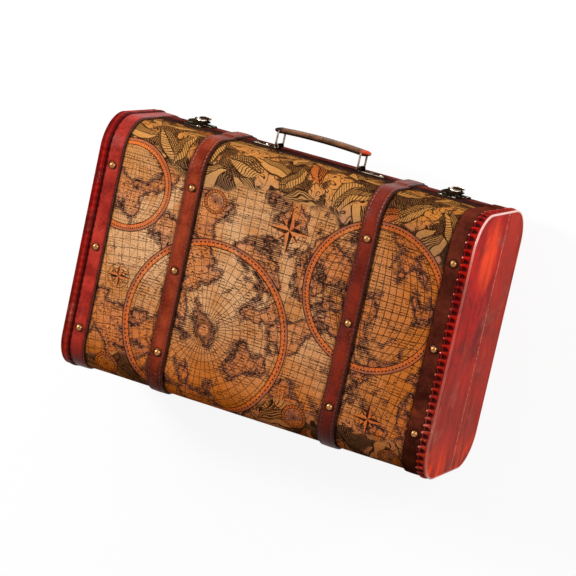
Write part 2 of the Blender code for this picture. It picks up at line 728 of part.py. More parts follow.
def latch_lever(side, sign):
    """Duckbill lever: a dished tongue that swells and flares away from the plate below its knuckles."""
    centre = sign * LATCH_X
    rings = []
    for step in range(LEVER_STEPS + 1):
        share = step / LEVER_STEPS
        z = LEVER_PIN_Z - LEVER_LENGTH * share
        rise = PIN_HEIGHT + LEVER_FLARE * share ** 2
        past_neck = max(0.0, share - NECK_SHARE) / (1.0 - NECK_SHARE)
        half = LEVER_HALF_WIDTH + LEVER_SWELL * math.sin(math.pi * past_neck)
        half *= math.sqrt(1.0 - TIP_SHARE * past_neck ** 6)
        dish = LEVER_DISH * share
        across = (-1.0, -0.5, 0.0, 0.5, 1.0)
        top = [(centre + half * a, rise + dish * a * a, z) for a in across]
        under = [(centre + half * a, rise + dish * a * a - LEVER_THICKNESS, z) for a in reversed(across)]
        rings.append([front_point(*point) for point in top + under])
    lever = loft(f"latch_lever_{side}", rings, antique_brass())
    for knuckle, z, height in (("pin", LEVER_PIN_Z, PIN_HEIGHT), ("bail", BAIL_PIN_Z, BAIL_HEIGHT)):
        ends = [front_point(centre + end * LEVER_HALF_WIDTH, height, z) for end in (-1, 1)]
        body = rod(f"lever_{knuckle}_knuckle_{side}", *ends, PIN_KNUCKLE_RADIUS, antique_brass())
        shaped(lever, body, "UNION")
    for knuckle, z, height in (("pin", LEVER_PIN_Z, PIN_HEIGHT), ("bail", BAIL_PIN_Z, BAIL_HEIGHT)):
        reach = LEVER_HALF_WIDTH + LEVER_SWELL + OVERRUN
        ends = [front_point(centre + end * reach, height, z) for end in (-1, 1)]
        bore = rod(f"lever_{knuckle}_bore_{side}", *ends, PIN_RADIUS + FIT_GAP,
                   antique_brass(), SCREW_SIDES)
        shaped(lever, bore, "DIFFERENCE")
    set_origin(lever, front_point(centre, PIN_HEIGHT, LEVER_PIN_Z))
    return lever


def lever_pin(side, sign):
    """Pin through the ears and the lever's knuckle."""
    reach = EAR_INNER + EAR_THICKNESS
    ends = [front_point(sign * LATCH_X + end * reach, PIN_HEIGHT, LEVER_PIN_Z) for end in (-1, 1)]
    return rod(f"latch_pin_{side}", *ends, PIN_RADIUS, antique_brass(), SCREW_SIDES)


def latch_bail(side, sign):
    """Wire bail whose ends turn into the lever and whose bar lies in the keeper's hook."""
    peg = LEVER_HALF_WIDTH - BAIL_PEG_DEPTH
    top = SEAM_Z + BAIL_BAR_FROM_SEAM
    corners = [(-peg, BAIL_PIN_Z), (-BAIL_HALF_WIDTH, BAIL_PIN_Z), (-BAIL_HALF_WIDTH, top),
               (BAIL_HALF_WIDTH, top), (BAIL_HALF_WIDTH, BAIL_PIN_Z), (peg, BAIL_PIN_Z)]
    path = rounded(corners, BAIL_CORNER, 3, False)
    points = [front_point(sign * LATCH_X + x, BAIL_HEIGHT, z) for x, z in path]
    return wire(f"latch_bail_{side}", points, PIN_RADIUS, False, antique_brass(),
                front_point(sign * LATCH_X, BAIL_HEIGHT, BAIL_PIN_Z))


def latch_keeper(side, sign):
    """Hook plate on the lid that the bail's bar pulls down on."""
    centre = sign * LATCH_X
    low = SEAM_Z + LATCH_EDGE_FROM_SEAM
    outline = rounded_plate(2 * KEEPER_HALF_WIDTH, low, low + KEEPER_HEIGHT, KEEPER_CORNER)
    keeper = extruded(f"latch_keeper_{side}", outline, 0, KEEPER_THICKNESS,
                      lambda x, z, height: front_point(centre + x, height, z), antique_brass())
    bar = SEAM_Z + BAIL_BAR_FROM_SEAM
    shelf_top = bar - PIN_RADIUS - HOOK_CLEARANCE
    lip_inner = BAIL_HEIGHT + PIN_RADIUS + HOOK_CLEARANCE
    foot = KEEPER_THICKNESS / 2
    lip_outer = lip_inner + HOOK_THICKNESS
    lip_top = bar + HOOK_LIP_RISE
    hook_outline = [(shelf_top - HOOK_THICKNESS, foot), (shelf_top - HOOK_THICKNESS, lip_inner),
                    (shelf_top, lip_outer), (lip_top, lip_outer), (lip_top, lip_inner),
                    (shelf_top, lip_inner), (shelf_top, foot)]
    hook = extruded(f"keeper_hook_{side}", hook_outline, -HOOK_HALF_WIDTH, 2 * HOOK_HALF_WIDTH,
                    lambda z, height, x: front_point(centre + x, height, z), antique_brass())
    shaped(keeper, hook, "UNION")
    add_screw_heads(keeper, keeper_screws(sign), (0, -1, 0))
    return keeper


def keeper_screws(sign):
    """Places of a keeper's two screws on its top face."""
    z = SEAM_Z + LATCH_EDGE_FROM_SEAM + KEEPER_HEIGHT - KEEPER_SCREW_FROM_TOP
    return [front_point(sign * LATCH_X + hand * KEEPER_SCREW_X, KEEPER_THICKNESS, z) for hand in (-1, 1)]


# Butt hinges

def back_point(across, height, z):
    """Place on the hinge side: across along X, height out from the rim bands' face, z up."""
    return across, BACK_Y + height, z


def hinge_screws(half, sign):
    """Places of a leaf's two screws on its outer face."""
    z = SEAM_Z + half.up * HINGE_SCREW_FROM_AXIS
    places = [sign * HINGE_X + hand * HINGE_SCREW_SPACING / 2 for hand in (-1, 1)]
    return [back_point(x, LEAF_THICKNESS, z) for x in places]


def hinge_leaf(half, side, sign):
    """Hinge leaf with every other knuckle of the barrel."""
    centre = sign * HINGE_X
    near = BARREL_RADIUS + FIT_GAP
    outline = [(SEAM_Z + half.up * near, 0), (SEAM_Z + half.up * LEAF_WIDTH, 0),
               (SEAM_Z + half.up * LEAF_WIDTH, LEAF_THICKNESS), (SEAM_Z + half.up * near, LEAF_THICKNESS)]
    leaf = extruded(f"{half.name}_hinge_leaf_{side}", outline, -HINGE_LENGTH / 2, HINGE_LENGTH,
                    lambda z, height, x: back_point(centre + x, height, z), antique_brass())
    pitch = HINGE_LENGTH / KNUCKLES
    first = 0 if half is BASE else 1
    for knuckle in range(first, KNUCKLES, 2):
        start = -HINGE_LENGTH / 2 + knuckle * pitch + (FIT_GAP / 2 if knuckle else 0)
        end = -HINGE_LENGTH / 2 + (knuckle + 1) * pitch - (FIT_GAP / 2 if knuckle < KNUCKLES - 1 else 0)
        body = extruded(f"{leaf.name}_knuckle_{knuckle}", knuckle_outline(half), start, end - start,
                        lambda z, height, x: back_point(centre + x, height, z), antique_brass())
        shaped(leaf, body, "UNION")
    reach = HINGE_LENGTH / 2 + OVERRUN
    ends = [back_point(centre + end * reach, BARREL_RADIUS, SEAM_Z) for end in (-1, 1)]
    bore = rod(f"{leaf.name}_bore", *ends, HINGE_PIN_RADIUS + HINGE_PIN_CLEARANCE, antique_brass())
    shaped(leaf, bore, "DIFFERENCE")
    add_screw_heads(leaf, hinge_screws(half, sign), (0, 1, 0))
    return leaf


def knuckle_outline(half):
    """Side view of a knuckle: a round roll with a flat tail that runs into its leaf."""
    tail = SEAM_Z + half.up * (BARREL_RADIUS + FIT_GAP + LEAF_THICKNESS)
    turns = [math.radians(turn) for turn in range(-30, 271, 30)]
    roll = [(SEAM_Z + half.up * BARREL_RADIUS * math.cos(turn), BARREL_RADIUS * (1 + math.sin(turn)))
            for turn in turns]
    return roll + [(tail, 0), (tail, LEAF_THICKNESS)]


def hinge_pin(side, sign):
    """Pin through the hinge's barrel."""
    reach = HINGE_LENGTH / 2
    ends = [back_point(sign * HINGE_X + end * reach, BARREL_RADIUS, SEAM_Z) for end in (-1, 1)]
    return rod(f"hinge_pin_{side}", *ends, HINGE_PIN_RADIUS, antique_brass())


# Assembly

def build_half(half):
    """Everything of one half that both halves have."""
    pieces = [wood_shell(half), printed_cover(half), lining(half)]
    pieces += [rim_band(half, side, sign) for side, sign in (("front", -1), ("back", 1))]
    for side, sign in SIDES:
        pieces += [end_board(half, side, sign), end_cover(half, side, sign), end_band(half, side, sign),
                   strap(half, side, sign), hinge_leaf(half, side, sign)]
    return pieces


def build():
    """The whole case, closed, with its moving pieces hung on their pivots."""
    base_frame = empty("base_frame", (0, CASE_Y, 0))
    lid_pivot = empty("lid_pivot", HINGE_AXIS, base_frame)
    on_base, on_lid = build_half(BASE), build_half(LID)
    for side, sign in SIDES:
        on_base += [hinge_pin(side, sign), latch_plate(side, sign), lever_pin(side, sign)]
        on_base.append(latch_lever(side, sign))
        hang(latch_bail(side, sign), on_base[-1])
        on_lid += [handle_bracket(side, sign), latch_keeper(side, sign), handle_ring(side, sign)]
        on_lid += dome_nails(side, sign)
    on_lid.append(grip())
    for piece in on_base:
        hang(piece, base_frame)
    for piece in on_lid:
        hang(piece, lid_pivot)


def clear_scene():
    for old in list(bpy.data.objects):
        bpy.data.objects.remove(old, do_unlink=True)


clear_scene()
build()
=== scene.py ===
"""Looks of a wooden travel case, modelled round its packed construction.

The case lies on its back. X runs along it, -Y is its latch and handle side, +Y its hinge side, +Z is up.
Lengths are metres. A stop is a distance round a half's leather, from the seam on the latch side to the
seam on the hinge side, and a height is measured outward from that leather.
"""

import logging
import math
from dataclasses import dataclass, field
from enum import Enum
from inspect import signature
from typing import Callable, Iterable, Optional, Union

import bpy
import numpy as np
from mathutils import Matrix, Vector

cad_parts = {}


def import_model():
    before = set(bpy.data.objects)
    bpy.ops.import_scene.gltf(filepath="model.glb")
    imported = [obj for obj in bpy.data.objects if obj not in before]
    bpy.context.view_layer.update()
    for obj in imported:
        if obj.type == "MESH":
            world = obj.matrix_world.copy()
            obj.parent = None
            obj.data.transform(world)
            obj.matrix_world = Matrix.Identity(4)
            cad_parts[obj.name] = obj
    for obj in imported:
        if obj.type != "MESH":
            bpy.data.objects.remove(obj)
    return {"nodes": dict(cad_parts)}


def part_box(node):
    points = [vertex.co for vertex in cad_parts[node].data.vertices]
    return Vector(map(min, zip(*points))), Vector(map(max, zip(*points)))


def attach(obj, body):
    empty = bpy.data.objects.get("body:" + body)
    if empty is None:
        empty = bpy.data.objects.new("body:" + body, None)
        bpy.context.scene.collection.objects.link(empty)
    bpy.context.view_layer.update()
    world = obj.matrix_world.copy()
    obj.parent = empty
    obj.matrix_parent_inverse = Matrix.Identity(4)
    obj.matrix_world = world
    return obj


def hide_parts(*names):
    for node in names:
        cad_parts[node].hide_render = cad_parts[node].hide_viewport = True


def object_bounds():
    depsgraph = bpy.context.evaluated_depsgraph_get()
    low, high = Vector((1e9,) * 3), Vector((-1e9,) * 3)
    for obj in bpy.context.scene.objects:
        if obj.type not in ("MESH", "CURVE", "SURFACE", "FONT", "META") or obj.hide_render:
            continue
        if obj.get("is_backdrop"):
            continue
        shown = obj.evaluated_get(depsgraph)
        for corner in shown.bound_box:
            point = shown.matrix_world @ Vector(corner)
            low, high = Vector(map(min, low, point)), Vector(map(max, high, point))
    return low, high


LOG = logging.getLogger("travel_case")
Array = np.ndarray
Colour = tuple[float, float, float]
Pair = tuple[float, float]
SMOOTH_ANGLE = math.radians(38)
WHITE = (1.0, 1.0, 1.0)
HANDS = (-1, 1)
NAIL_ROWS = (1, 2, 3)
ROD_SIDES = 18


def srgb(red: int, green: int, blue: int) -> Colour:
    """Linear colour of an sRGB colour given as bytes.

    Args:
        red, green, blue: parts of the colour, 0 to 255.

    Returns:
        The same colour as linear light.
    """
    shares = np.array((red, green, blue)) / 255
    linear = np.where(shares <= 0.04045, shares / 12.92, ((shares + 0.055) / 1.055) ** 2.4)
    return tuple(float(part) for part in linear)


# Shader building

class Socket(Enum):
    """Kinds of value that a node group takes or gives."""

    VALUE = "NodeSocketFloat"
    VECTOR = "NodeSocketVector"
    COLOUR = "NodeSocketColor"

    @classmethod
    def named(cls, name: str) -> "Socket":
        """The kind that a name stands for in every group."""
        if name in ("place", "centre"):
            return cls.VECTOR
        return cls.COLOUR if name in ("colour", "light", "dark", "bright") else cls.VALUE


def formula(operation: str, swapped: bool = False) -> Callable[..., "Field"]:
    """A method of Field that adds a Math node; the field comes last where it is swapped."""
    def method(self: "Field", *others: "Operand") -> "Field":
        """The node's result."""
        return self.graph.math(operation, *((*others, self) if swapped else (self, *others)))
    return method


class Field:
    """A value of a node tree. Sums, comparisons and the like add the Math nodes that work them out.

    The product of two masks, or &, is their overlap, and | is their union.
    """

    __add__, __radd__ = formula("ADD"), formula("ADD", swapped=True)
    __sub__, __rsub__ = formula("SUBTRACT"), formula("SUBTRACT", swapped=True)
    __mul__, __rmul__ = formula("MULTIPLY"), formula("MULTIPLY", swapped=True)
    __truediv__, __rtruediv__ = formula("DIVIDE"), formula("DIVIDE", swapped=True)
    __gt__, __lt__ = formula("GREATER_THAN"), formula("LESS_THAN")
    __or__, __and__ = formula("MAXIMUM"), formula("MINIMUM")
    size, root = formula("ABSOLUTE"), formula("SQRT")
    sine, cosine = formula("SINE"), formula("COSINE")
    floor, fraction = formula("FLOOR"), formula("FRACT")

    def __init__(self, graph: "Graph", socket: bpy.types.NodeSocket) -> None:
        """Keeps the socket that gives the value."""
        self.graph = graph
        self.socket = socket

    def rise(self, low: "Operand", high: "Operand") -> "Field":
        """Smooth step from 0 at low to 1 at high."""
        feeds = {"Value": self, "From Min": low, "From Max": high}
        return self.graph.value("ShaderNodeMapRange", feeds, interpolation_type="SMOOTHSTEP")

    def line(self, half_width: float) -> "Field":
        """Mask of a thin line with soft edges where this value passes zero."""
        return 1 - self.size().rise(half_width * 0.6, half_width * 1.4)

    def repeat(self, pitch: "Operand") -> "Field":
        """Signed distance to the nearest multiple of a pitch."""
        return ((self / pitch + 0.5).fraction() - 0.5) * pitch

    def parts(self) -> tuple["Field", ...]:
        """The three parts of a vector."""
        split = self.graph.node("ShaderNodeSeparateXYZ", {0: self})
        return tuple(Field(self.graph, part) for part in split.outputs)

    def moved(self, way: "Feed") -> "Field":
        """A vector plus another."""
        return self.graph.vector("ADD", {0: self, 1: way})

    def scaled(self, factor: "Operand") -> "Field":
        """A vector times a number."""
        return self.graph.vector("SCALE", {0: self, "Scale": factor})

    def around(self, centre: "Feed") -> tuple["Field", ...]:
        """This place measured from a centre: x, y, the distance and the angle."""
        x, y, _ = self.graph.vector("SUBTRACT", {0: self, 1: centre}).parts()
        return x, y, (x * x + y * y).root(), self.graph.math("ARCTAN2", y, x)

    def noise(self, scale: "Operand", detail: float = 3.0, rough: float = 0.5, twist: float = 0.0) -> "Field":
        """Fractal noise at this place, about 0.5 in the mean."""
        feeds = {"Vector": self, "Scale": scale, "Detail": detail, "Roughness": rough, "Distortion": twist}
        return self.graph.value("ShaderNodeTexNoise", feeds)

    def cells(self, scale: "Operand", feature: str = "F1", loose: float = 1.0,
              flat: bool = False) -> dict[str, "Field"]:
        """Voronoi cells round this place: the node's outputs by name; flat cells lie in a plane."""
        made = self.graph.node("ShaderNodeTexVoronoi", {"Vector": self, "Scale": scale, "Randomness": loose},
                               voronoi_dimensions="2D" if flat else "3D", feature=feature)
        return {output.name.lower(): Field(self.graph, output) for output in made.outputs if output.enabled}


Operand = Union[Field, float]
Feed = Union[Field, float, tuple]
Fields = dict[str, Field]
Feeds = dict[str, Feed]


def union(masks: Iterable[Field]) -> Field:
    """The union of several masks."""
    first, *others = masks
    for mask in others:
        first = first | mask
    return first


class Graph:
    """A node tree that is written as formulas."""

    def __init__(self, tree: bpy.types.NodeTree) -> None:
        """Keeps the tree that nodes go into."""
        self.tree = tree

    def feed(self, socket: bpy.types.NodeSocket, value: Feed) -> None:
        """Links a field to a socket, or sets the socket to a constant.

        Args:
            socket: input that takes the value.
            value: a field, a number, or a vector or colour of three numbers.
        """
        if isinstance(value, Field):
            self.tree.links.new(value.socket, socket)
        elif isinstance(value, tuple) and socket.type == "RGBA":
            socket.default_value = (*value, 1.0)
        else:
            socket.default_value = value

    def node(self, kind: str, feeds: Optional[dict] = None, **settings: object) -> bpy.types.Node:
        """Adds a node.

        Args:
            kind: the node's type name.
            feeds: values of its inputs by name or number.
            settings: its own options.

        Returns:
            The new node.
        """
        made = self.tree.nodes.new(kind)
        for option, value in settings.items():
            setattr(made, option, value)
        for key, value in (feeds or {}).items():
            self.feed(made.inputs[key], value)
        return made

    def value(self, kind: str, feeds: Optional[dict] = None, output: Union[int, str] = 0,
              **settings: object) -> Field:
        """What a new node gives at one of its outputs."""
        return Field(self, self.node(kind, feeds, **settings).outputs[output])

    def math(self, operation: str, *values: Operand) -> Field:
        """A Math node's result."""
        return self.value("ShaderNodeMath", dict(enumerate(values)), operation=operation)

    def vector(self, operation: str, feeds: dict) -> Field:
        """A Vector Math node's vector."""
        return self.value("ShaderNodeVectorMath", feeds, "Vector", operation=operation)

    def joined(self, x: Operand, y: Operand, z: Operand = 0.0) -> Field:
        """A vector of three values."""
        return self.value("ShaderNodeCombineXYZ", {0: x, 1: y, 2: z})

    def mix(self, share: Operand, first: Feed, second: Feed) -> Field:
        """A colour between two colours, the given share of the way to the second."""
        made = self.node("ShaderNodeMix", data_type="RGBA")
        named = {socket.identifier: socket for socket in made.inputs}
        for name, value in (("Factor_Float", share), ("A_Color", first), ("B_Color", second)):
            self.feed(named[name], value)
        return Field(self, next(out for out in made.outputs if out.identifier == "Result_Color"))

    def coats(self, colour: Feed, *coats: tuple[Operand, Feed]) -> Field:
        """A colour under coats of other colours, each laid on by its share."""
        for share, coat in coats:
            colour = self.mix(share, colour, coat)
        return colour

    def bump(self, height: Field, distance: float) -> Field:
        """A surface normal roughened by a height of 0 to 1 times a distance."""
        return self.value("ShaderNodeBump", {"Height": height, "Distance": distance})

    def object_place(self) -> Field:
        """Place in the piece's own coordinates, which are the case's."""
        return self.value("ShaderNodeTexCoord", output="Object")

    def surface_place(self) -> Field:
        """Place on the piece's own pattern coordinates, in metres."""
        return self.value("ShaderNodeUVMap", uv_map=Piece.PATTERN)

    def mark(self) -> Field:
        """The piece's own mark of edges and folds."""
        return self.value("ShaderNodeAttribute", output="Fac", attribute_name=Piece.MARK)

    def seen(self) -> Field:
        """Mask of the rays that look at a thing by themselves, by a mirror or through glass."""
        path = self.node("ShaderNodeLightPath").outputs
        return union(Field(self, path[f"Is {kind} Ray"]) for kind in ("Camera", "Glossy", "Transmission"))


class Effect:
    """A look that several finishes share, as a node group that takes and gives what fill does, by name."""

    @staticmethod
    def label(name: str) -> str:
        """A socket's name as the node shows it."""
        return name.replace("_", " ").capitalize()

    def sockets(self, tree: bpy.types.NodeTree, way: str, names: Iterable[str]) -> None:
        """Gives the tree its inputs (INPUT) or outputs (OUTPUT)."""
        for name in names:
            tree.interface.new_socket(self.label(name), in_out=way, socket_type=Socket.named(name).value)

    def fill(self, graph: Graph, **given: Field) -> Fields:
        """The outputs by name, worked out from the inputs in the group's own tree."""
        raise NotImplementedError

    def tree(self) -> bpy.types.NodeTree:
        """The group's node tree, built at its first use."""
        title = type(self).__name__
        known = bpy.data.node_groups.get(title)
        if known is not None:
            return known
        tree = bpy.data.node_groups.new(title, "ShaderNodeTree")
        graph = Graph(tree)
        inputs = list(signature(self.fill).parameters)[1:]
        self.sockets(tree, "INPUT", inputs)
        entry = graph.node("NodeGroupInput")
        results = self.fill(graph, **{name: Field(graph, entry.outputs[self.label(name)]) for name in inputs})
        self.sockets(tree, "OUTPUT", results)
        graph.node("NodeGroupOutput", {self.label(name): result for name, result in results.items()})
        return tree

    def use(self, graph: Graph, **values: Feed) -> Fields:
        """Places the group in a tree.

        Args:
            graph: tree that takes the group.
            values: its inputs by name.

        Returns:
            Its outputs by name.
        """
        feeds = {self.label(name): value for name, value in values.items()}
        node = graph.node("ShaderNodeGroup", feeds, node_tree=self.tree())
        return {output.name.lower().replace(" ", "_"): Field(graph, output) for output in node.outputs}


class LeatherGrain(Effect):
    """Pebbled leather: cells with creases between them, over softer swells."""

    def fill(self, graph: Graph, place: Field, cell: Field) -> Fields:
        """Height is the distance to the cell's edge plus noise, crease is where that distance is small."""
        scale = 1.0 / cell
        warp = place.noise(scale * 0.6, 2.0)
        moved = place.moved(graph.joined(warp, warp, warp).scaled(cell))
        edge = moved.cells(scale, "DISTANCE_TO_EDGE")["distance"]
        swell = place.noise(scale * 0.35, 4.0, 0.6)
        pebble = edge.rise(0.0, 0.32)
        return {"height": pebble * 0.6 + swell * 0.7, "crease": 1 - edge.rise(0.0, 0.14)}


class HandStain(Effect):
    """Two colours rubbed into each other in clouds, with fine streaks of the darker one."""

    def fill(self, graph: Graph, place: Field, cloud: Field, light: Field, dark: Field,
             share: Field) -> Fields:
        """Depth is cloud noise moved by the share, plus a little fine noise."""
        scale = 1.0 / cloud
        broad = place.noise(scale, 4.0, 0.6, 0.4)
        fine = place.noise(scale * 9, 3.0, 0.65)
        depth = (broad + (fine - 0.5) * 0.35 + share - 0.5).rise(0.30, 0.72)
        return {"colour": graph.mix(depth, light, dark), "depth": depth}


class EdgeWear(Effect):
    """Where a marked edge wears: the mark broken up by noise."""

    def fill(self, graph: Graph, place: Field, mark: Field) -> Fields:
        """Wear is the mark plus noise, past a threshold."""
        rough = place.noise(260.0, 3.0, 0.7)
        return {"wear": (mark + (rough - 0.5) * 0.7).rise(0.55, 1.05)}


class Scuffs(Effect):
    """Small pale scratches and rubs, few and unlike in length."""

    def fill(self, graph: Graph, place: Field) -> Fields:
        """Scratches are the thin parts of stretched noise, kept only in a few clouds."""
        x, y, z = place.parts()
        streak = graph.joined(x * 300, y * 60, z * 420).noise(1.0, 3.0, 0.6, 1.2)
        where = place.noise(26.0, 2.0)
        return {"scuff": (streak - 0.5).line(0.012) * where.rise(0.56, 0.66)}


class AgedBrass(Effect):
    """Brass that has darkened in its hollows and is bright where the piece's mark is high: on edges polished
    by wear, and as painted highlights.
    """

    def fill(self, graph: Graph, place: Field, mark: Field, bright: Field, dark: Field,
             tarnish: Field) -> Fields:
        """Tarnish is cloudy noise that the mark takes away, on edges polished by wear and as painted
        highlights; pits are the low parts of fine cells.
        """
        cloud = place.noise(140.0, 2.0, 0.55, 0.3)
        speck = place.noise(1400.0, 3.0, 0.7)
        depth = (cloud + tarnish - 0.5 - mark * 0.75 + (speck - 0.5) * 0.12).rise(0.32, 0.66)
        pits = place.cells(900.0)["distance"].rise(0.05, 0.35)
        colour = graph.mix(depth, bright, dark)
        rough = depth * 0.22 + 0.24 + (speck - 0.5) * 0.12
        return {"colour": colour, "roughness": rough, "height": pits * 0.5 + speck * 0.3}


class ClothWeave(Effect):
    """Plain weave of two sets of threads that pass over each other in turn."""

    def fill(self, graph: Graph, place: Field, pitch: Field) -> Fields:
        u, v, _ = place.parts()
        wave_u = (u / pitch * math.pi).sine()
        wave_v = (v / pitch * math.pi).sine()
        over = wave_u * wave_v
        weave = wave_u.size() * (over > 0.0) | wave_v.size() * (over < 0.0)
        return {"height": weave, "thread": weave * 0.6 + place.noise(500.0, 2.0) * 0.5}


class WoodGrain(Effect):
    """Long grain lines that wander, with short pores."""

    def fill(self, graph: Graph, place: Field, ring: Field) -> Fields:
        """Rings are sine waves of a place that noise bends; pores are thin stretched noise."""
        x, y, z = place.parts()
        bend = graph.joined(x * 3, y * 20, z * 20).noise(1.0, 3.0)
        wave = (((y + z * 0.7) / ring + bend * 7) * math.pi).sine()
        pore = graph.joined(x * 90, y * 1500, z * 1500).noise(1.0, 2.0)
        return {"ring_tone": wave * 0.5 + 0.5, "pore": pore.rise(0.60, 0.70)}


class ChartDisc(Effect):
    """A ruled disc of a chart: a coloured rim with a dashed scale, and a net of lines inside.

    Polar nets have spokes and rings. Others have meridians, arcs through both poles, and bowed parallels.
    """

    RIM = 0.0078
    RING_PITCH = 0.0088
    NET_LINE = 0.00044
    HUB = 0.006

    def fill(self, graph: Graph, place: Field, centre: Field, radius: Field, polar: Field) -> Fields:
        """Distances from the centre give the rim and its outer part; angles or arcs give the net."""
        x, y, away, turn = place.around(centre)
        inside = away < radius - self.RIM
        rim = (away < radius) * (away > radius - self.RIM)
        outer = (away < radius) * (away > radius - self.RIM * 0.42)
        dash = (turn.repeat(math.pi / 60).size() < math.pi / 210)
        dash = dash * (away - radius + self.RIM * 0.45).line(0.0007)
        ticks = turn.repeat(math.pi / 36).line(0.005) * (away - radius + self.RIM * 0.86).line(0.0011)
        edges = (away - radius).line(0.00055) | (away - radius + self.RIM).line(0.0005)
        spokes = (turn.repeat(math.pi / 24) * away).line(self.NET_LINE) * (away > self.HUB)
        rings = away.repeat(self.RING_PITCH).line(self.NET_LINE)
        across = (x / radius).size() + 0.0001
        down = y / radius
        bow = (across * across + down * down - 1) / (across * 2)
        arcs = (bow + (bow * bow + 1).root()).repeat(1 / 10).line(0.0066)
        parallels = (down * (1 + across * across * 0.22)).repeat(1 / 9).line(0.0062)
        net = (spokes | rings) * polar + (arcs | parallels) * (1 - polar)
        ink = dash | edges | ticks
        return {"inside": inside, "rim": rim, "outer": outer, "ink": ink, "net": net * inside}


class CompassRose(Effect):
    """A wind rose: a long and a short four-pointed star, halved light and dark, in two rings, with rays."""

    SLANT = math.sqrt(0.5)

    def star(self, x: Field, y: Field, tip: Field, waist: float) -> tuple[Field, Field]:
        """A four-pointed star on its axes.

        Args:
            x, y: place measured from the star's centre.
            tip: distance of its points.
            waist: distance of its inner corners as a share of the tips'.

        Returns:
            The star's mask, and the mask of its dark halves.
        """
        side, top = x.size(), y.size()
        corner = tip * waist * self.SLANT
        inside = ((side | top) + (side & top) * ((tip - corner) / corner)) < tip
        dark = (x * y > 0.0) * (side > top) + (x * y < 0.0) * (side < top)
        return inside, dark

    def fill(self, graph: Graph, place: Field, centre: Field, radius: Field, reach: Field) -> Fields:
        """Stars by straight edges in a folded quadrant; rays by angle, thinning out at the reach."""
        x, y, away, turn = place.around(centre)
        main, main_dark = self.star(x, y, radius, 0.24)
        small, small_dark = self.star((x + y) * self.SLANT, (y - x) * self.SLANT, radius * 0.66, 0.30)
        star = main | small
        dark = main * main_dark + small * small_dark * (1 - main)
        rings = (away - radius * 0.50).line(0.0005) | (away - radius * 0.78).line(0.00035)
        rays = (turn.repeat(math.pi / 8) * away).line(0.00030) * (away > radius) * (away < reach)
        return {"ink": dark | (rings * (1 - star)), "star": star, "rays": rays}


class Coastline(Effect):
    """Invented land: a noisy shore, with short strokes off it and a shaded border."""

    STROKE_PITCH = 0.0021

    def fill(self, graph: Graph, place: Field, scale: Field, level: Field) -> Fields:
        """Land is where fractal noise is above a level; the shore and its strokes follow the same noise."""
        above = place.noise(scale, 7.0, 0.57, 0.35) - level
        land = above > 0.0
        strokes = place.parts()[1].repeat(self.STROKE_PITCH).line(0.00045)
        off_shore = strokes * (above > -0.034) * (above < 0.0)
        shore = (above.size() * -1).rise(-0.046, -0.004)
        rivers = place.noise(scale * 2.3, 4.0, 0.6, 0.8) - 0.5
        return {"land": land, "shore": shore,
                "ink": above.line(0.0065) | off_shore | (rivers.line(0.006) * land * 0.8)}


class SmallMarks(Effect):
    """Rows of little hills on the land, and rows of short broken strokes on the water."""

    CELL_LONG = 0.0066
    CELL_HIGH = 0.0040
    ROW = 0.0034

    def fill(self, graph: Graph, place: Field, land: Field) -> Fields:
        """Hills are arches, lines where the height over a parabola is zero; strokes are rows cut by noise."""
        u, v, _ = place.parts()
        row = (v / self.CELL_HIGH).floor()
        shifted = u + row * self.CELL_LONG * 0.37
        column = (shifted / self.CELL_LONG).floor()
        chance = graph.value("ShaderNodeTexWhiteNoise", {"Vector": graph.joined(column, row)}, "Value")
        cluster = place.noise(38.0, 2.0)
        across = (shifted - (column + 0.5) * self.CELL_LONG) / self.CELL_LONG
        up = (v - (row + 0.5) * self.CELL_HIGH) / self.CELL_HIGH
        arch = (up - across * across * 5 + 0.22).line(0.15) * (across.size() < 0.30)
        hills = arch * (chance + cluster > 1.15) * land
        line = (v / self.ROW).floor()
        broken = graph.joined(u * 420, line * 7.3).noise(1.0, 2.0, 0.8).rise(0.47, 0.51)
        run = graph.joined(u * 22, line * 2.1).noise(1.0, 1.0).rise(0.47, 0.50)
        return {"ink": hills | v.repeat(self.ROW).line(0.00062) * broken * run * (cluster > 0.40)}


class Foliage(Effect):
    """Engraved leaves that lie every way over each other, dark with hatching."""

    STROKE_PITCH = 0.0021
    CROSS_PITCH = 0.0024

    def fill(self, graph: Graph, place: Field, size: Field) -> Fields:
        """Each cell holds a leaf turned at random: an outline bowed to two tips, a rib and slanting veins."""
        scale = 1.0 / size
        sway = place.noise(scale * 0.8, 2.0) - 0.5
        bent = place.moved(graph.joined(sway, sway * -1.0).scaled(size * 0.9))
        found = bent.cells(scale, flat=True, loose=0.9)
        tone = found["color"].parts()
        x, y, _, _ = bent.around(found["position"])
        angle = tone[0] * math.pi * 1.2 + 0.9
        cos, sin = angle.cosine(), angle.sine()
        along = (x * cos + y * sin) / size
        aside = (y * cos - x * sin) / size
        body = aside.size() / ((1 - along * along * 1.7) * 0.31 | 0.001)
        leaf = body < 1.0
        outline = (body - 0.95).line(0.09)
        rib = aside.line(0.022)
        veins = (along + aside.size() * 0.8).repeat(0.10).line(0.016) * leaf * (tone[1] > 0.35)
        shadow = (aside + along * along * 0.3).repeat(0.060).line(0.017) * (aside > 0.03) * leaf
        u, v, _ = place.parts()
        swirl = place.noise(scale * 1.1, 2.0, 0.5, 1.2)
        strokes = (u * 0.8 + v * 0.6 + swirl * 0.016).repeat(self.STROKE_PITCH).line(0.00062)
        cross = (u * 0.6 - v * 0.8).repeat(self.CROSS_PITCH).line(0.00050) * (swirl > 0.5)
        tendril = union((swirl - level).line(0.010) for level in (0.40, 0.50, 0.60))
        patch = place.noise(scale * 0.75, 4.0, 0.6, 0.5).rise(0.46, 0.50)
        hatch = ((strokes | cross) * patch | tendril) * (1 - leaf)
        ink = outline | (rib * leaf) | veins | shadow | hatch
        return {"ink": ink, "leaf": leaf, "tone": tone[1], "shade": patch * (1 - leaf)}


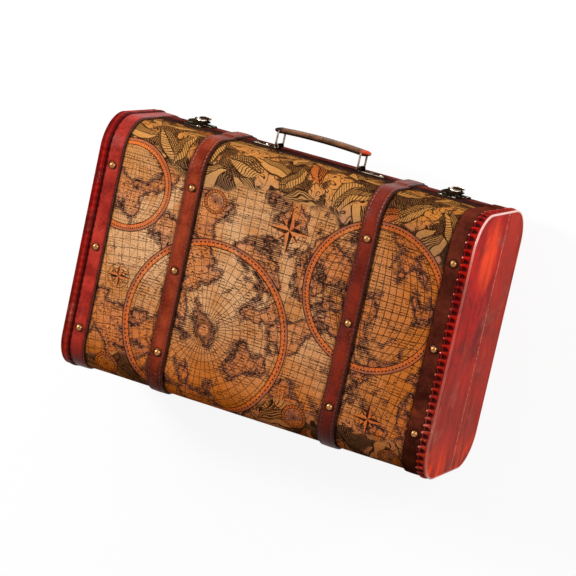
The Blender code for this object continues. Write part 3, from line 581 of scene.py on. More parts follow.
class Medallion(Effect):
    """A small round ornament: two rings, beads between them and an eight-petalled flower."""

    def fill(self, graph: Graph, place: Field, centre: Field, radius: Field) -> Fields:
        """Rings by distance, beads by distance and angle, petals where the distance is under a cosine."""
        _, _, away, turn = place.around(centre)
        away = away / radius
        rings = (away - 0.97).line(0.035) | (away - 0.74).line(0.035)
        beads = (away - 0.86).line(0.05) * turn.repeat(math.pi / 12).line(0.07)
        petal = (turn * 4).cosine().size() * 0.42 + 0.16
        flower = (away - petal).line(0.035) | ((away < petal * 0.55) * turn.repeat(math.pi / 24).line(0.03))
        return {"inside": away < 1.0, "ink": rings | beads | flower | (away < 0.08),
                "rim": (away < 0.97) * (away > 0.74)}


# Finishes

@dataclass(frozen=True)
class Finish:
    """A surface finish: constants on the shader's own sockets, and fields that vary over the surface."""

    name: str

    def look(self, graph: Graph) -> Feeds:
        """Values of the shader's inputs by name: fields for what varies, numbers for what doesn't."""
        raise NotImplementedError

    def material(self) -> bpy.types.Material:
        """The material, built at its first use."""
        title = f"{self.name}_finish"
        known = bpy.data.materials.get(title)
        if known is not None:
            return known
        made = bpy.data.materials.new(title)
        made.use_nodes = True
        graph = Graph(made.node_tree)
        shader = made.node_tree.nodes["Principled BSDF"]
        for name, value in self.look(graph).items():
            graph.feed(shader.inputs[name], value)
        return made


@dataclass(frozen=True)
class StainedLeather(Finish):
    """Smooth leather, hand stained, darker along its edges and pale where they wear, with painted shade where
    it bends down on the hinge side.
    """

    light: Colour
    dark: Colour
    edge: Colour
    worn: Colour
    cloud: float = 0.035
    cell: float = 0.0014
    relief: float = 0.00012
    roughness: float = 0.36
    gloss: float = 0.0
    wear_share: float = 0.22
    scuff_share: float = 0.25

    def ingredients(self, graph: Graph) -> tuple[Field, Field, Fields, Fields, Field]:
        """Place, mark, stain, grain and scuffs, which each leather is mixed from."""
        place = graph.object_place()
        stain = HandStain().use(graph, place=place, cloud=self.cloud, light=self.light, dark=self.dark,
                                share=0.5)
        grain = LeatherGrain().use(graph, place=place, cell=self.cell)
        return place, graph.mark(), stain, grain, Scuffs().use(graph, place=place)["scuff"]

    def look(self, graph: Graph) -> Feeds:
        """Cloudy stain, edge colour by the piece's mark, pebbled grain and scuffs; the mark holds edge dye,
        and painted shade in grooves, round nails and under the grip.
        """
        place, mark, stain, grain, scuff = self.ingredients(graph)
        wear = EdgeWear().use(graph, place=place, mark=mark)["wear"]
        colour = self.tint(graph, place, graph.mix(grain["crease"] * 0.35, stain["colour"], self.dark))
        # Edge colour by the mark: edge dye, and painted shade where the mark holds it.
        colour = graph.coats(colour, (mark.rise(0.12, 0.75) * 0.92, self.edge),
                             (wear * self.wear_share | scuff * self.scuff_share, self.worn))
        rough = stain["depth"] * -0.08 + grain["crease"] * 0.12 + (self.roughness + 0.02)
        return {"Base Color": colour, "Roughness": rough, "Specular IOR Level": self.gloss,
                "Normal": graph.bump(grain["height"], self.relief)}

    def tint(self, graph: Graph, place: Field, colour: Field) -> Field:
        """Painted shade: plain leather is darkened towards its edge colour where it bends down on the hinge
        side.
        """
        # Painted shade on the hinge-side bend.
        return graph.mix(place.parts()[1].rise(0.095, 0.155) * 0.62, colour, self.edge)


@dataclass(frozen=True)
class BurnishedLeather(StainedLeather):
    """Dark leather whose under colour glows through low down on the case."""

    glow: Colour = srgb(150, 62, 26)

    def tint(self, graph: Graph, place: Field, colour: Field) -> Field:
        """Cloudy patches of the glow, more of them towards the hinge side, under the plain leather's painted
        shade.
        """
        patch = place.noise(30.0, 3.0, 0.6, 0.4).rise(0.52, 0.74)
        colour = graph.mix(patch * place.parts()[1].rise(-0.06, 0.12) * 0.75, colour, self.glow)
        return super().tint(graph, place, colour)


@dataclass(frozen=True)
class GripLeather(StainedLeather):
    """Tan leather of the grip, with a painted orange-red glow on its left end."""

    nose: Colour = srgb(196, 62, 30)
    nose_from: float = 0.046
    nose_fade: float = 0.006

    def tint(self, graph: Graph, place: Field, colour: Field) -> Field:
        """Painted glow: orange-red past the left end of the grip."""
        share = (place.parts()[0] * -1).rise(self.nose_from, self.nose_from + self.nose_fade) * 0.9
        return graph.mix(share, colour, self.nose)


@dataclass(frozen=True)
class FoldedLeather(StainedLeather):
    """Stained leather of the end covers, with painted shade near black down in its folds, and polished on its
    rolled edge with a painted highlight.

    The piece's mark is up to 1 in a fold and down to -1 on the rolled edge.
    """

    # Colour of the painted shade in the folds.
    fold: Colour = srgb(50, 5, 6)
    # Colour of the painted pool of light, also used for the orange at the panel's foot.
    glow: Colour = srgb(244, 70, 10)
    # Colour of the painted highlight on the rolled bead's front corner.
    gleam: Colour = srgb(246, 222, 214)
    brick: Colour = srgb(156, 50, 28)
    seam: float = 0.0603
    glow_middle: Pair = (-0.091, 0.096)
    glow_size: Pair = (0.036, 0.022)

    def look(self, graph: Graph) -> Feeds:
        """Cloudy stain with a painted pool of light, brushed streaks, scuffs, a painted highlight along the
        seam, and painted shade in the folds by the mark.
        """
        place, mark, stain, grain, scuff = self.ingredients(graph)
        x, y, z = place.parts()
        cloud = graph.joined(x, y * 0.45, z).noise(34.0, 4.0, 0.6, 0.5)
        off_y = (y - self.glow_middle[0]) / self.glow_size[0]
        off_z = (z - self.glow_middle[1]) / self.glow_size[1]
        streak = graph.joined(x * 60, y * 22, z * 170).noise(1.0, 5.0, 0.65, 0.5).rise(0.46, 0.72)
        broad = graph.joined(x * 20, y * 13, z * 62).noise(1.0, 4.0, 0.65, 0.8).rise(0.42, 0.62)
        rub = graph.joined(x * 60, y * 16, z * 230).noise(1.0, 5.0, 0.75, 0.5).rise(0.58, 0.70)
        # Painted pool of light: a soft orange patch high on the panel.
        glow = 1 - (off_y * off_y + off_z * off_z + (cloud - 0.5) * 2.6).rise(-0.3, 2.1)
        glow = glow * (1 - broad * 0.45)
        foot = y.rise(0.110, 0.150) * cloud.rise(0.40, 0.60)
        # Painted highlight: a pale dotted line along the seam edge.
        seam_dots = (z - self.seam).line(0.0013) * place.noise(420.0, 2.0).rise(0.42, 0.54)
        rolled = (mark * -1).rise(0.0, 0.8)
        colour = graph.coats(
            stain["colour"],
            (y.rise(-0.04, 0.10) * 0.55 | (1 - z.rise(0.045, 0.075)) * 0.5, self.brick),
            (streak * 0.30 | broad * z.rise(0.056, 0.066) * 0.46, self.dark),
            (glow * 0.95 | foot * 0.7, self.glow),
            (rub * y.rise(-0.06, 0.08) * 0.55, self.worn),
            (seam_dots * 0.85, self.worn),
            (grain["crease"] * 0.25, self.dark),
            (scuff * self.scuff_share, self.worn),
            # Painted shade in the folds, by the mark.
            (mark.rise(0.15, 0.75), self.fold),
            # Painted highlight on the rolled bead and the ridge tips, strongest towards the latch side; the
            # coat there is real polish.
            (rolled * (0.16 + (1 - y.rise(-0.13, -0.03)) * 0.50), self.worn),
            (rolled * (1 - y.rise(-0.132, -0.075)) * 0.42, self.gleam))
        rough = streak * 0.10 + glow * -0.06 + self.roughness - rolled * 0.16
        normal = graph.bump(grain["height"] + streak * 0.4, self.relief)
        return {"Base Color": colour, "Roughness": rough, "Coat Weight": rolled * 0.8, "Coat Roughness": 0.16,
                "Specular IOR Level": self.gloss, "Normal": normal}


@dataclass(frozen=True)
class Spot:
    """Where a motif is printed, as x along the case and a stop round the lid, and its radius."""

    x: float
    stop: float
    radius: float

    def feeds(self) -> Feeds:
        """Values for the motif's node group."""
        return {"centre": (self.x, self.stop, 0.0), "radius": self.radius}


@dataclass(frozen=True)
class DiscSpot(Spot):
    """Spot of a ruled disc, with 1 for a polar net and 0 for another."""

    polar: float = 0.0

    def feeds(self) -> Feeds:
        """Values for the disc's node group."""
        return super().feeds() | {"polar": self.polar}


@dataclass(frozen=True)
class RoseSpot(Spot):
    """Spot of a wind rose, with the distance that its rays reach."""

    reach: float

    def feeds(self) -> Feeds:
        """Values for the rose's node group."""
        return super().feeds() | {"reach": self.reach}


@dataclass(frozen=True)
class ChartPrint(Finish):
    """Leather printed with an invented old chart: discs, coasts, wind roses, leaves and flowers."""

    discs: tuple[DiscSpot, ...] = (DiscSpot(0.058, 0.272, 0.100, polar=1.0), DiscSpot(-0.126, 0.184, 0.082),
                                   DiscSpot(0.182, 0.140, 0.052))
    roses: tuple[RoseSpot, ...] = (RoseSpot(-0.016, 0.140, 0.027, 0.11),
                                   RoseSpot(-0.150, 0.312, 0.020, 0.085),
                                   RoseSpot(0.172, 0.242, 0.017, 0.055))
    medallions: tuple[Spot, ...] = (Spot(-0.066, 0.336, 0.0150), Spot(-0.180, 0.352, 0.014),
                                    Spot(0.168, 0.344, 0.0150), Spot(0.076, 0.132, 0.0135))
    shift: float = 0.0
    grid_pitch: float = 0.0098
    grid_line: float = 0.00042
    leaf_size: float = 0.034
    relief: float = 0.00036
    # x of the strips of painted shade beside the straps and bands: a darker painted shadow on their -X sides,
    # away from the key lamp, and fainter painted shade on their +X sides.
    dark_edges: tuple[float, ...] = (0.0950, -0.1160, 0.1953)
    soft_edges: tuple[float, ...] = (0.1160, -0.0950, -0.1953)
    ground: Colour = srgb(218, 166, 118)
    tanned: Colour = srgb(194, 120, 58)
    golden: Colour = srgb(186, 118, 52)
    # Colour of a painted sheen, a pale veil laid over the leafy parts.
    haze: Colour = srgb(168, 128, 104)
    deep: Colour = srgb(190, 98, 22)
    land: Colour = srgb(200, 104, 46)
    shore: Colour = srgb(120, 78, 70)
    rim: Colour = srgb(210, 100, 40)
    leaf: Colour = srgb(186, 136, 74)
    flower: Colour = srgb(204, 76, 24)
    ink: Colour = srgb(30, 18, 12)
    shade: Colour = srgb(64, 30, 12)
    gloom: Colour = srgb(84, 58, 36)

    def look(self, graph: Graph) -> Feeds:
        """Ground, then land, discs, ornament and ink, then age over all of it, with painted shade where the
        lid bends down on the hinge side and beside the straps and bands.
        """
        place = graph.surface_place().moved((0.0, self.shift, 0.0))
        x, stop, _ = place.parts()
        stain = HandStain().use(graph, place=place, cloud=0.055, light=self.ground, dark=self.tanned,
                                share=0.46)
        coast = Coastline().use(graph, place=place, scale=16.0, level=0.525)
        marks = SmallMarks().use(graph, place=place, land=coast["land"])["ink"]
        leaves = Foliage().use(graph, place=place, size=self.leaf_size)
        grain = LeatherGrain().use(graph, place=place, cell=0.0017)
        discs = self.all_discs(graph, place)
        inside, rim = discs["inside"], discs["rim"]
        star, rose_ink, rays = self.motifs(graph, place, CompassRose(), self.roses, ("star", "ink", "rays"))
        medal, medal_rim, medal_ink = self.motifs(graph, place, Medallion(), self.medallions,
                                                  ("inside", "rim", "ink"))

        edge = place.noise(12.0, 3.0) * 0.09
        petal = graph.mix(leaves["tone"].rise(0.80, 0.84), self.leaf, self.flower)
        border = 1 - (stop + edge - (-0.06 - x).rise(0.0, 0.05) * 0.035).rise(0.150, 0.156)
        foot = (stop + edge).rise(0.372, 0.378)
        leafy = (border | foot) * (1 - (inside | rim)) * (1 - medal)
        chart = 1 - leafy
        gloom = leafy * leaves["shade"] * ((-0.02 - x).rise(0.0, 0.06) * 0.24 + 0.58)
        faded = place.noise(44.0, 4.0, 0.65, 0.4).rise(0.30, 0.62)

        meridians = (x + (stop - 0.2) * (x - 0.02) * 1.1).repeat(self.grid_pitch).line(self.grid_line)
        parallels = (stop - x * x * 0.45).repeat(self.grid_pitch).line(self.grid_line)
        grid = discs["net"] | (meridians | parallels) * (1 - inside)
        grid = grid * ((0.12 - x).rise(0.0, 0.3) * 0.2 + 0.70)
        ink = (coast["ink"] | grid | marks | rays * 0.6) * (1 - (rim | medal | star)) * chart
        ink = ink | discs["ink"] | rose_ink | medal_ink | leaves["ink"] * leafy
        fade = place.noise(120.0, 4.0, 0.7).rise(0.25, 0.60)

        old = place.noise(9.0, 5.0, 0.65, 0.6).rise(0.50, 0.76)
        # Painted shade in the ink colour beside the straps and bands, darker on their -X sides.
        grime = self.beside(x, self.dark_edges) * 0.82 | self.beside(x, self.soft_edges) * 0.40
        colour = graph.coats(
            stain["colour"],
            (stop.rise(0.22, 0.36) | (0.06 - x).rise(0.04, 0.30), self.deep),
            ((1 - stop.rise(0.07, 0.15)) * 0.9, self.golden),
            # Painted sheen over the leafy parts past the latch-side bend.
            (leafy * stop.rise(0.085, 0.125) * 0.7, self.haze),
            (coast["land"] * chart * 0.50, self.land),
            (coast["shore"] * chart * 0.66, self.shore),
            (leafy * leaves["leaf"] * 0.50, petal),
            (leafy * foot * 0.55, self.deep),
            (gloom, self.gloom),
            (rim * (faded * 0.45 + 0.45) | (medal_rim | star) * 0.6, self.rim),
            (discs["outer"] * (0.85 - faded * 0.5), self.shore),
            (ink * (fade * 0.30 + 0.70), self.ink),
            # Age mottling, and painted shade where the lid bends down on the hinge side, past stop 0.345.
            (old * 0.46 | stop.rise(0.345, 0.400) * 0.42, self.shade),
            (grain["crease"] * 0.42, self.shade),
            (grime, self.ink))
        return {"Base Color": colour, "Roughness": grain["crease"] * 0.14 + old * 0.06 + 0.42,
                "Specular IOR Level": 0.0, "Normal": graph.bump(grain["height"], self.relief)}

    @staticmethod
    def beside(x: Field, edges: Iterable[float]) -> Field:
        """Mask of the narrow strips of painted shade beside the straps and bands."""
        return union(1 - (x - edge).size().rise(0.0006, 0.0028) for edge in edges)

    def all_discs(self, graph: Graph, place: Field) -> Fields:
        """The masks of all discs by name; a later disc lies over the ones before it."""
        joined, *others = [ChartDisc().use(graph, place=place, **spot.feeds()) for spot in self.discs]
        for disc in others:
            clear = 1 - (disc["inside"] | disc["rim"])
            joined = {name: mask * clear | disc[name] for name, mask in joined.items()}
        return joined

    @staticmethod
    def motifs(graph: Graph, place: Field, motif: Effect, spots: Iterable[Spot],
               masks: Iterable[str]) -> list[Field]:
        """Masks of a motif by the names of its outputs, each the union over all its spots."""
        made = [motif.use(graph, place=place, **spot.feeds()) for spot in spots]
        return [union(found[mask] for found in made) for mask in masks]


@dataclass(frozen=True)
class Brass(Finish):
    """Antique brass, dark in its hollows."""

    bright: Colour
    dark: Colour
    tarnish: float
    slant_tint: Colour = (0.26, 0.22, 0.19)
    relief: float = 0.000008

    def look(self, graph: Graph) -> Feeds:
        """Cloudy tarnish that the mark takes away: edges polished by wear, and painted highlights."""
        aged = AgedBrass().use(graph, place=graph.object_place(), mark=graph.mark(), bright=self.bright,
                               dark=self.dark, tarnish=self.tarnish)
        return {"Base Color": aged["colour"], "Roughness": aged["roughness"], "Metallic": 1.0,
                "Specular Tint": self.slant_tint, "Normal": graph.bump(aged["height"], self.relief)}


@dataclass(frozen=True)
class Thread(Finish):
    """Waxed sewing thread with its twist."""

    light: Colour = srgb(104, 48, 32)
    dark: Colour = srgb(20, 9, 7)
    # Colour of a painted highlight on the stitches over the bend.
    rubbed: Colour = srgb(206, 156, 126)
    twist_pitch: float = 0.0006
    relief: float = 0.00006

    def look(self, graph: Graph) -> Feeds:
        """Slanting bands of the twist along each stitch, with a painted highlight where the strap bends round
        the lid.
        """
        place = graph.surface_place()
        u, v, _ = place.parts()
        twist = ((v + u * 1.4) / self.twist_pitch * math.pi).sine() * 0.5 + 0.5
        fuzz = place.noise(1800.0, 2.0)
        # Painted highlight on the stitches over the bend.
        rubbed = (1 - v.rise(0.092, 0.112)) * fuzz.rise(0.42, 0.56)
        colour = graph.coats(self.dark, (twist * 0.6 + fuzz * 0.3, self.light), (rubbed * 0.6, self.rubbed))
        return {"Base Color": colour, "Roughness": fuzz * 0.2 + 0.55,
                "Normal": graph.bump(twist, self.relief)}


@dataclass(frozen=True)
class Wood(Finish):
    """Plain sawn softwood."""

    light: Colour = srgb(206, 170, 120)
    dark: Colour = srgb(150, 108, 66)
    ring: float = 0.009
    relief: float = 0.00008

    def look(self, graph: Graph) -> Feeds:
        """Rings and pores of the grain."""
        grain = WoodGrain().use(graph, place=graph.object_place(), ring=self.ring)
        ring, pore = grain["ring_tone"], grain["pore"]
        colour = graph.coats(self.light, (ring * 0.55, self.dark), (pore * 0.6, self.dark))
        return {"Base Color": colour, "Roughness": ring * 0.12 + 0.62,
                "Normal": graph.bump(ring * 0.5 + pore * -0.5, self.relief)}


@dataclass(frozen=True)
class Cloth(Finish):
    """Woven lining cloth."""

    light: Colour = srgb(150, 116, 82)
    dark: Colour = srgb(98, 70, 46)
    pitch: float = 0.0011
    relief: float = 0.00022

    def look(self, graph: Graph) -> Feeds:
        """Plain weave with uneven threads."""
        place = graph.surface_place()
        weave = ClothWeave().use(graph, place=place, pitch=self.pitch)
        cloud = place.noise(14.0, 3.0)
        return {"Base Color": graph.mix(weave["thread"] * 0.8 + cloud * 0.3, self.dark, self.light),
                "Roughness": cloud * 0.06 + 0.88, "Normal": graph.bump(weave["height"], self.relief)}


PRINT_LID = ChartPrint("printed_leather_lid")
PRINT_BASE = ChartPrint("printed_leather_base", shift=0.021)
STRAP_LEATHER = StainedLeather("strap_leather", light=srgb(148, 60, 34), dark=srgb(100, 30, 15),
                               edge=srgb(18, 6, 5), worn=srgb(204, 124, 98), gloss=0.02, wear_share=0.10)
STRAP_DEEP = StainedLeather("strap_leather_deep", light=srgb(124, 38, 18), dark=srgb(84, 20, 9),
                            edge=srgb(16, 5, 4), worn=srgb(190, 104, 78), gloss=0.08, wear_share=0.08)
BAND_RED = StainedLeather("band_leather_red", light=srgb(174, 48, 34), dark=srgb(112, 20, 14),
                          edge=srgb(26, 5, 4), worn=srgb(216, 120, 100), gloss=0.08, wear_share=0.2)
BAND_DARK = BurnishedLeather("band_leather_dark", light=srgb(100, 42, 28), dark=srgb(50, 18, 11),
                             edge=srgb(14, 4, 3), worn=srgb(140, 66, 44), cloud=0.04, wear_share=0.10)
RIM_DARK = StainedLeather("rim_leather_dark", light=srgb(66, 32, 26), dark=srgb(30, 15, 12),
                          edge=srgb(10, 4, 4), worn=srgb(150, 106, 90), cloud=0.016, wear_share=0.12)
RIM_RED = StainedLeather("rim_leather_red", light=srgb(118, 50, 42), dark=srgb(70, 26, 22),
                         edge=srgb(14, 5, 5), worn=srgb(186, 104, 84), cloud=0.022)
END_LEATHER = FoldedLeather("end_leather", light=srgb(190, 24, 11), dark=srgb(104, 11, 8),
                            edge=srgb(70, 12, 12), worn=srgb(222, 132, 110), cloud=0.040, roughness=0.42,
                            gloss=0.02, scuff_share=0.55)
GRIP_LEATHER = GripLeather("grip_leather", light=srgb(136, 90, 58), dark=srgb(58, 34, 22),
                           edge=srgb(6, 4, 4), worn=srgb(180, 134, 98), cloud=0.02, cell=0.0010, gloss=0.03,
                           wear_share=0.0)
# Each brass is bright where its piece's mark is high: edges polished by wear, and painted highlights on nail
# domes, screw heads, plate edges and the lever's lip.
BRASS = Brass("antique_brass", bright=srgb(232, 218, 190), dark=srgb(40, 29, 19), tarnish=0.96)
LEVER_BRASS = Brass("lever_brass", bright=srgb(250, 240, 222), dark=srgb(58, 32, 22), tarnish=0.94)
WIRE_BRASS = Brass("wire_brass", bright=srgb(184, 158, 142), dark=srgb(92, 68, 58), tarnish=0.5)
NAIL_BRASS = Brass("nail_brass", bright=srgb(158, 108, 66), dark=srgb(58, 33, 20), tarnish=0.72)
STITCH_THREAD = Thread("stitch_thread")
WOOD = Wood("case_wood")
CLOTH = Cloth("lining_cloth")


# Meshes

def spread(*parts: Union[float, Array]) -> Array:
    """Points whose coordinates are the given arrays, spread over each other's grid."""
    return np.stack(np.broadcast_arrays(*parts), axis=-1)


def bell(away: Array, width: float) -> Array:
    """Bell curve, the exponential of minus the square: 1 at zero and small past the width."""
    return np.exp(-(away / width) ** 2)


def ramp(value: Array, low: float, span: float) -> Array:
    """Straight rise from 0 at low to 1 a span past it."""
    return np.clip((value - low) / span, 0, 1)


def eased(share: Array) -> Array:
    """Smooth step of a share of 0 to 1: three times its square less twice its cube."""
    return share * share * (3 - 2 * share)


def crowded(count: int) -> Array:
    """Places from -1 to 1 that crowd at both ends, as the sine of even angles."""
    return np.sin(np.linspace(-1, 1, count) * math.pi / 2)


def unit(vectors: Array) -> Array:
    """Vectors brought to a length of one."""
    return vectors / np.linalg.norm(vectors, axis=-1, keepdims=True)


class Piece:
    """A named mesh made of closed lofts: rings of points carried along a way, with capped ends."""

    PATTERN = "pattern"
    MARK = "mark"

    def __init__(self, name: str) -> None:
        """Starts an empty piece."""
        self.name = name
        self.points: list[Array] = []
        self.pattern: list[Array] = []
        self.marks: list[Array] = []
        self.faces: list[list[int]] = []
        self.count = 0

    def loft(self, points: Array, pattern: Optional[Array] = None, mark: Union[float, Array] = 0.0,
             closed: bool = False) -> "Piece":
        """Adds a loft, or several alike. Faces join each ring to the next and are turned outward.

        Args:
            points: rings by points by 3, or copies by rings by points by 3.
            pattern: two pattern coordinates a point, in metres; x and y where left out.
            mark: one value for all points or one a point, for edges and folds.
            closed: whether the last ring joins the first.

        Returns:
            The piece itself.
        """
        points = points if points.ndim == 4 else points[None]
        copies, rings, around, _ = points.shape
        pattern = points[..., :2] if pattern is None else np.broadcast_to(pattern, (*points.shape[:3], 2))
        index = np.arange(rings * around).reshape(rings, around)
        last = rings if closed else rings - 1
        ahead = np.roll(index, -1, axis=0)
        beside = np.roll(index, -1, axis=1)
        both = np.roll(ahead, -1, axis=1)
        quads = np.stack([index, beside, both, ahead], axis=-1)[:last].reshape(-1, 4)
        caps = np.empty((0, around), int) if closed else np.stack([index[0][::-1], index[-1]])
        if self.volume(points[0].reshape(-1, 3), quads, caps) < 0:
            quads, caps = quads[:, ::-1], caps[:, ::-1]
        offsets = self.count + np.arange(copies)[:, None, None] * rings * around
        self.faces += (quads[None] + offsets).reshape(-1, 4).tolist()
        self.faces += (caps[None] + offsets).reshape(-1, around).tolist()
        self.points.append(points.reshape(-1, 3))
        self.pattern.append(pattern.reshape(-1, 2))
        self.marks.append(np.broadcast_to(mark, points.shape[:3]).reshape(-1))
        self.count += copies * rings * around
        return self

    @staticmethod
    def volume(points: Array, quads: Array, caps: Array) -> float:
        """Signed volume: the sum over fans of triangles of the triple product with the mean point."""
        local = points - points.mean(axis=0)
        triangles = [quads[:, [0, 1, 2]], quads[:, [0, 2, 3]]]
        for cap in caps:
            triangles.append(np.stack([np.full(len(cap) - 2, cap[0]), cap[1:-1], cap[2:]], axis=-1))
        corners = local[np.concatenate(triangles)]
        return float(np.einsum("ij,ij->i", corners[:, 0], np.cross(corners[:, 1], corners[:, 2])).sum())

    def finish(self, finish: Finish, body: str, slot: str, added: bool = False) -> None:
        """Makes the object, dresses it and hangs it on its body.

        Args:
            finish: what its surface is.
            body: CAD body that it moves with.
            slot: material slot of the record; not used.
            added: whether it stands beside the CAD nodes, and for none of them.
        """
        title = f"{self.name}_visual"
        mesh = bpy.data.meshes.new(title)
        mesh.from_pydata(np.concatenate(self.points), [], self.faces)
        corners = np.empty(len(mesh.loops), np.int32)
        mesh.loops.foreach_get("vertex_index", corners)
        pattern = np.concatenate(self.pattern).astype(np.float32)
        mesh.uv_layers.new(name=self.PATTERN).data.foreach_set("uv", pattern[corners].ravel())
        marks = np.concatenate(self.marks).astype(np.float32)
        mesh.attributes.new(self.MARK, "FLOAT", "POINT").data.foreach_set("value", marks)
        mesh.shade_smooth()
        mesh.set_sharp_from_angle(angle=SMOOTH_ANGLE)
        mesh.materials.append(finish.material())
        made = bpy.data.objects.new(title, mesh)
        bpy.context.scene.collection.objects.link(made)
        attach(made, body)
        stands_for = () if added else (self.name,)
        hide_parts(*stands_for)
        LOG.info("%s: %d faces on %s", title, len(mesh.polygons), body)


def ring_of(*parts: Array) -> Array:
    """One ring of points from several runs of points, joined end to end."""
    return np.concatenate([np.atleast_2d(part) for part in parts])


def arc(centre: Pair, radius: float, first: float, last: float, steps: int) -> Array:
    """Points on an arc in a plane, cut into even steps between two angles in degrees."""
    turn = np.radians(np.linspace(first, last, steps + 1))
    return spread(centre[0] + radius * np.cos(turn), centre[1] + radius * np.sin(turn))


def rounded_box(width: float, low: float, high: float, radius: float, steps: int = 6) -> Array:
    """Outline of a box centred on zero across, with round corners."""
    half = width / 2 - radius
    corners = ((half, low + radius, -90), (half, high - radius, 0), (-half, high - radius, 90),
               (-half, low + radius, 180))
    return np.concatenate([arc((x, z), radius, start, start + 90, steps) for x, z, start in corners])


def outward(outline: Array) -> Array:
    """Unit normals of a closed outline in a plane, pointing out of it."""
    along = np.roll(outline, -1, axis=0) - np.roll(outline, 1, axis=0)
    normal = np.stack([along[:, 1], -along[:, 0]], axis=-1)
    normal /= np.linalg.norm(normal, axis=1, keepdims=True) + 1e-12
    area = np.sum(outline[:, 0] * np.roll(outline[:, 1], -1) - np.roll(outline[:, 0], -1) * outline[:, 1])
    return normal * np.sign(area)


def bar(section: Array, ends: Pair, inset: float, bevel: float) -> Array:
    """Rings of a section carried straight along, drawn in along its normals at both ends.

    Args:
        section: closed outline of two coordinates.
        ends: where the bar starts and stops.
        inset: how far from an end the section is full.
        bevel: how far it is drawn in at the end.

    Returns:
        Four rings of (along, a, b) points.
    """
    along = np.array([ends[0], ends[0] + inset, ends[1] - inset, ends[1]])[:, None]
    drawn_in = np.array([bevel, 0.0, 0.0, bevel])[:, None, None]
    rings = section - outward(section) * drawn_in
    return spread(along, rings[..., 0], rings[..., 1])


def plate_rings(outline: Array, high: float, bevel: float, steps: int = 3) -> tuple[Array, Array]:
    """Rings of a plate that lies on zero and has a rounded upper edge.

    Each ring is the outline drawn in along its normals; the upper edge is a quarter round.

    Args:
        outline: closed outline in the plate's plane.
        high: the plate's upper face.
        bevel: radius of the upper edge.
        steps: spans of the rounded edge.

    Returns:
        Rings of (a, b, height) points, and a mark for each ring.
    """
    normal = outward(outline)
    turn = np.radians(np.linspace(0, 90, steps + 1))
    drawn_in = np.concatenate([[0.0, 0.0], bevel * (1 - np.cos(turn[1:]))])
    height = np.concatenate([[0.0, high - bevel], high - bevel + bevel * np.sin(turn[1:])])
    rings = [spread(*(outline - normal * inset).T, level) for inset, level in zip(drawn_in, height)]
    middle = outline.mean(axis=0)
    top_shares = (0.82, 0.55, 0.2)
    rings += [spread(*(middle + (outline - normal * bevel - middle) * share).T, high) for share in top_shares]
    # The mark brightens the rounded upper edge: brass polished by wear, with a painted highlight.
    marks = np.concatenate([[0.0, 0.2], np.linspace(0.58, 0.3, steps), np.full(len(top_shares), 0.1)])
    return np.stack(rings), marks[:, None]


def turned(profile: Array, sides: int) -> Array:
    """Rings of a solid of revolution: (radius, height) pairs turned about the height's axis."""
    turn = np.linspace(0, 2 * math.pi, sides, endpoint=False)
    radius, height = profile[:, 0, None], profile[:, 1, None]
    return spread(radius * np.cos(turn), radius * np.sin(turn), height)


def rod(half: float, *ends: Pair) -> Array:
    """Rings of a rod along the last coordinate, with each end's rings as radii at distances from the tip."""
    profile = [(radius, inset - half) for radius, inset in ends]
    return turned(np.array(profile + [(radius, -along) for radius, along in profile[::-1]]), ROD_SIDES)


def swept(path: Array, radius: Union[float, Array], closed: bool, sides: int = 14) -> Array:
    """Rings of a round wire along a flat path.

    The path lies in a plane that is square to an axis, so each ring is spanned by that axis and the
    normal in the plane.

    Args:
        path: points of three coordinates.
        radius: the wire's radius, or one for each point, as points by 1 by 1.
        closed: whether the path joins up.
        sides: points of a ring.

    Returns:
        Rings of points.
    """
    chords = np.roll(path, -1, axis=0) - np.roll(path, 1, axis=0)
    along = unit(chords if closed else np.gradient(path, axis=0))
    lift = np.zeros(3)
    lift[np.ptp(path, axis=0).argmin()] = 1.0
    side = np.cross(along, lift)
    turn = np.linspace(0, 2 * math.pi, sides, endpoint=False)[None, :, None]
    return path[:, None] + radius * (np.cos(turn) * side[:, None] + np.sin(turn) * lift)


def rounded_path(corners: Iterable[Pair], radius: float, closed: bool, steps: int) -> Array:
    """A polyline whose corners are turned into arcs, as the curve of two lines blended over each corner.

    Args:
        corners: points of the polyline.
        radius: distance from a corner at which its bend starts.
        closed: whether the line joins up.
        steps: spans of each bend.

    Returns:
        Points of two coordinates.
    """
    corners = np.array(list(corners), float)
    turn = np.linspace(0, 1, steps + 1)[:, None] * math.pi / 2
    points = []
    for index, corner in enumerate(corners):
        if not closed and index in (0, len(corners) - 1):
            points.append(corner[None])
            continue
        before, after = corners[index - 1], corners[(index + 1) % len(corners)]
        first = corner + unit(before - corner) * radius
        last = corner + unit(after - corner) * radius
        inner = first + last - corner
        points.append(inner + (first - inner) * np.cos(turn) + (last - inner) * np.sin(turn))
    return np.concatenate(points)


# The case's outline

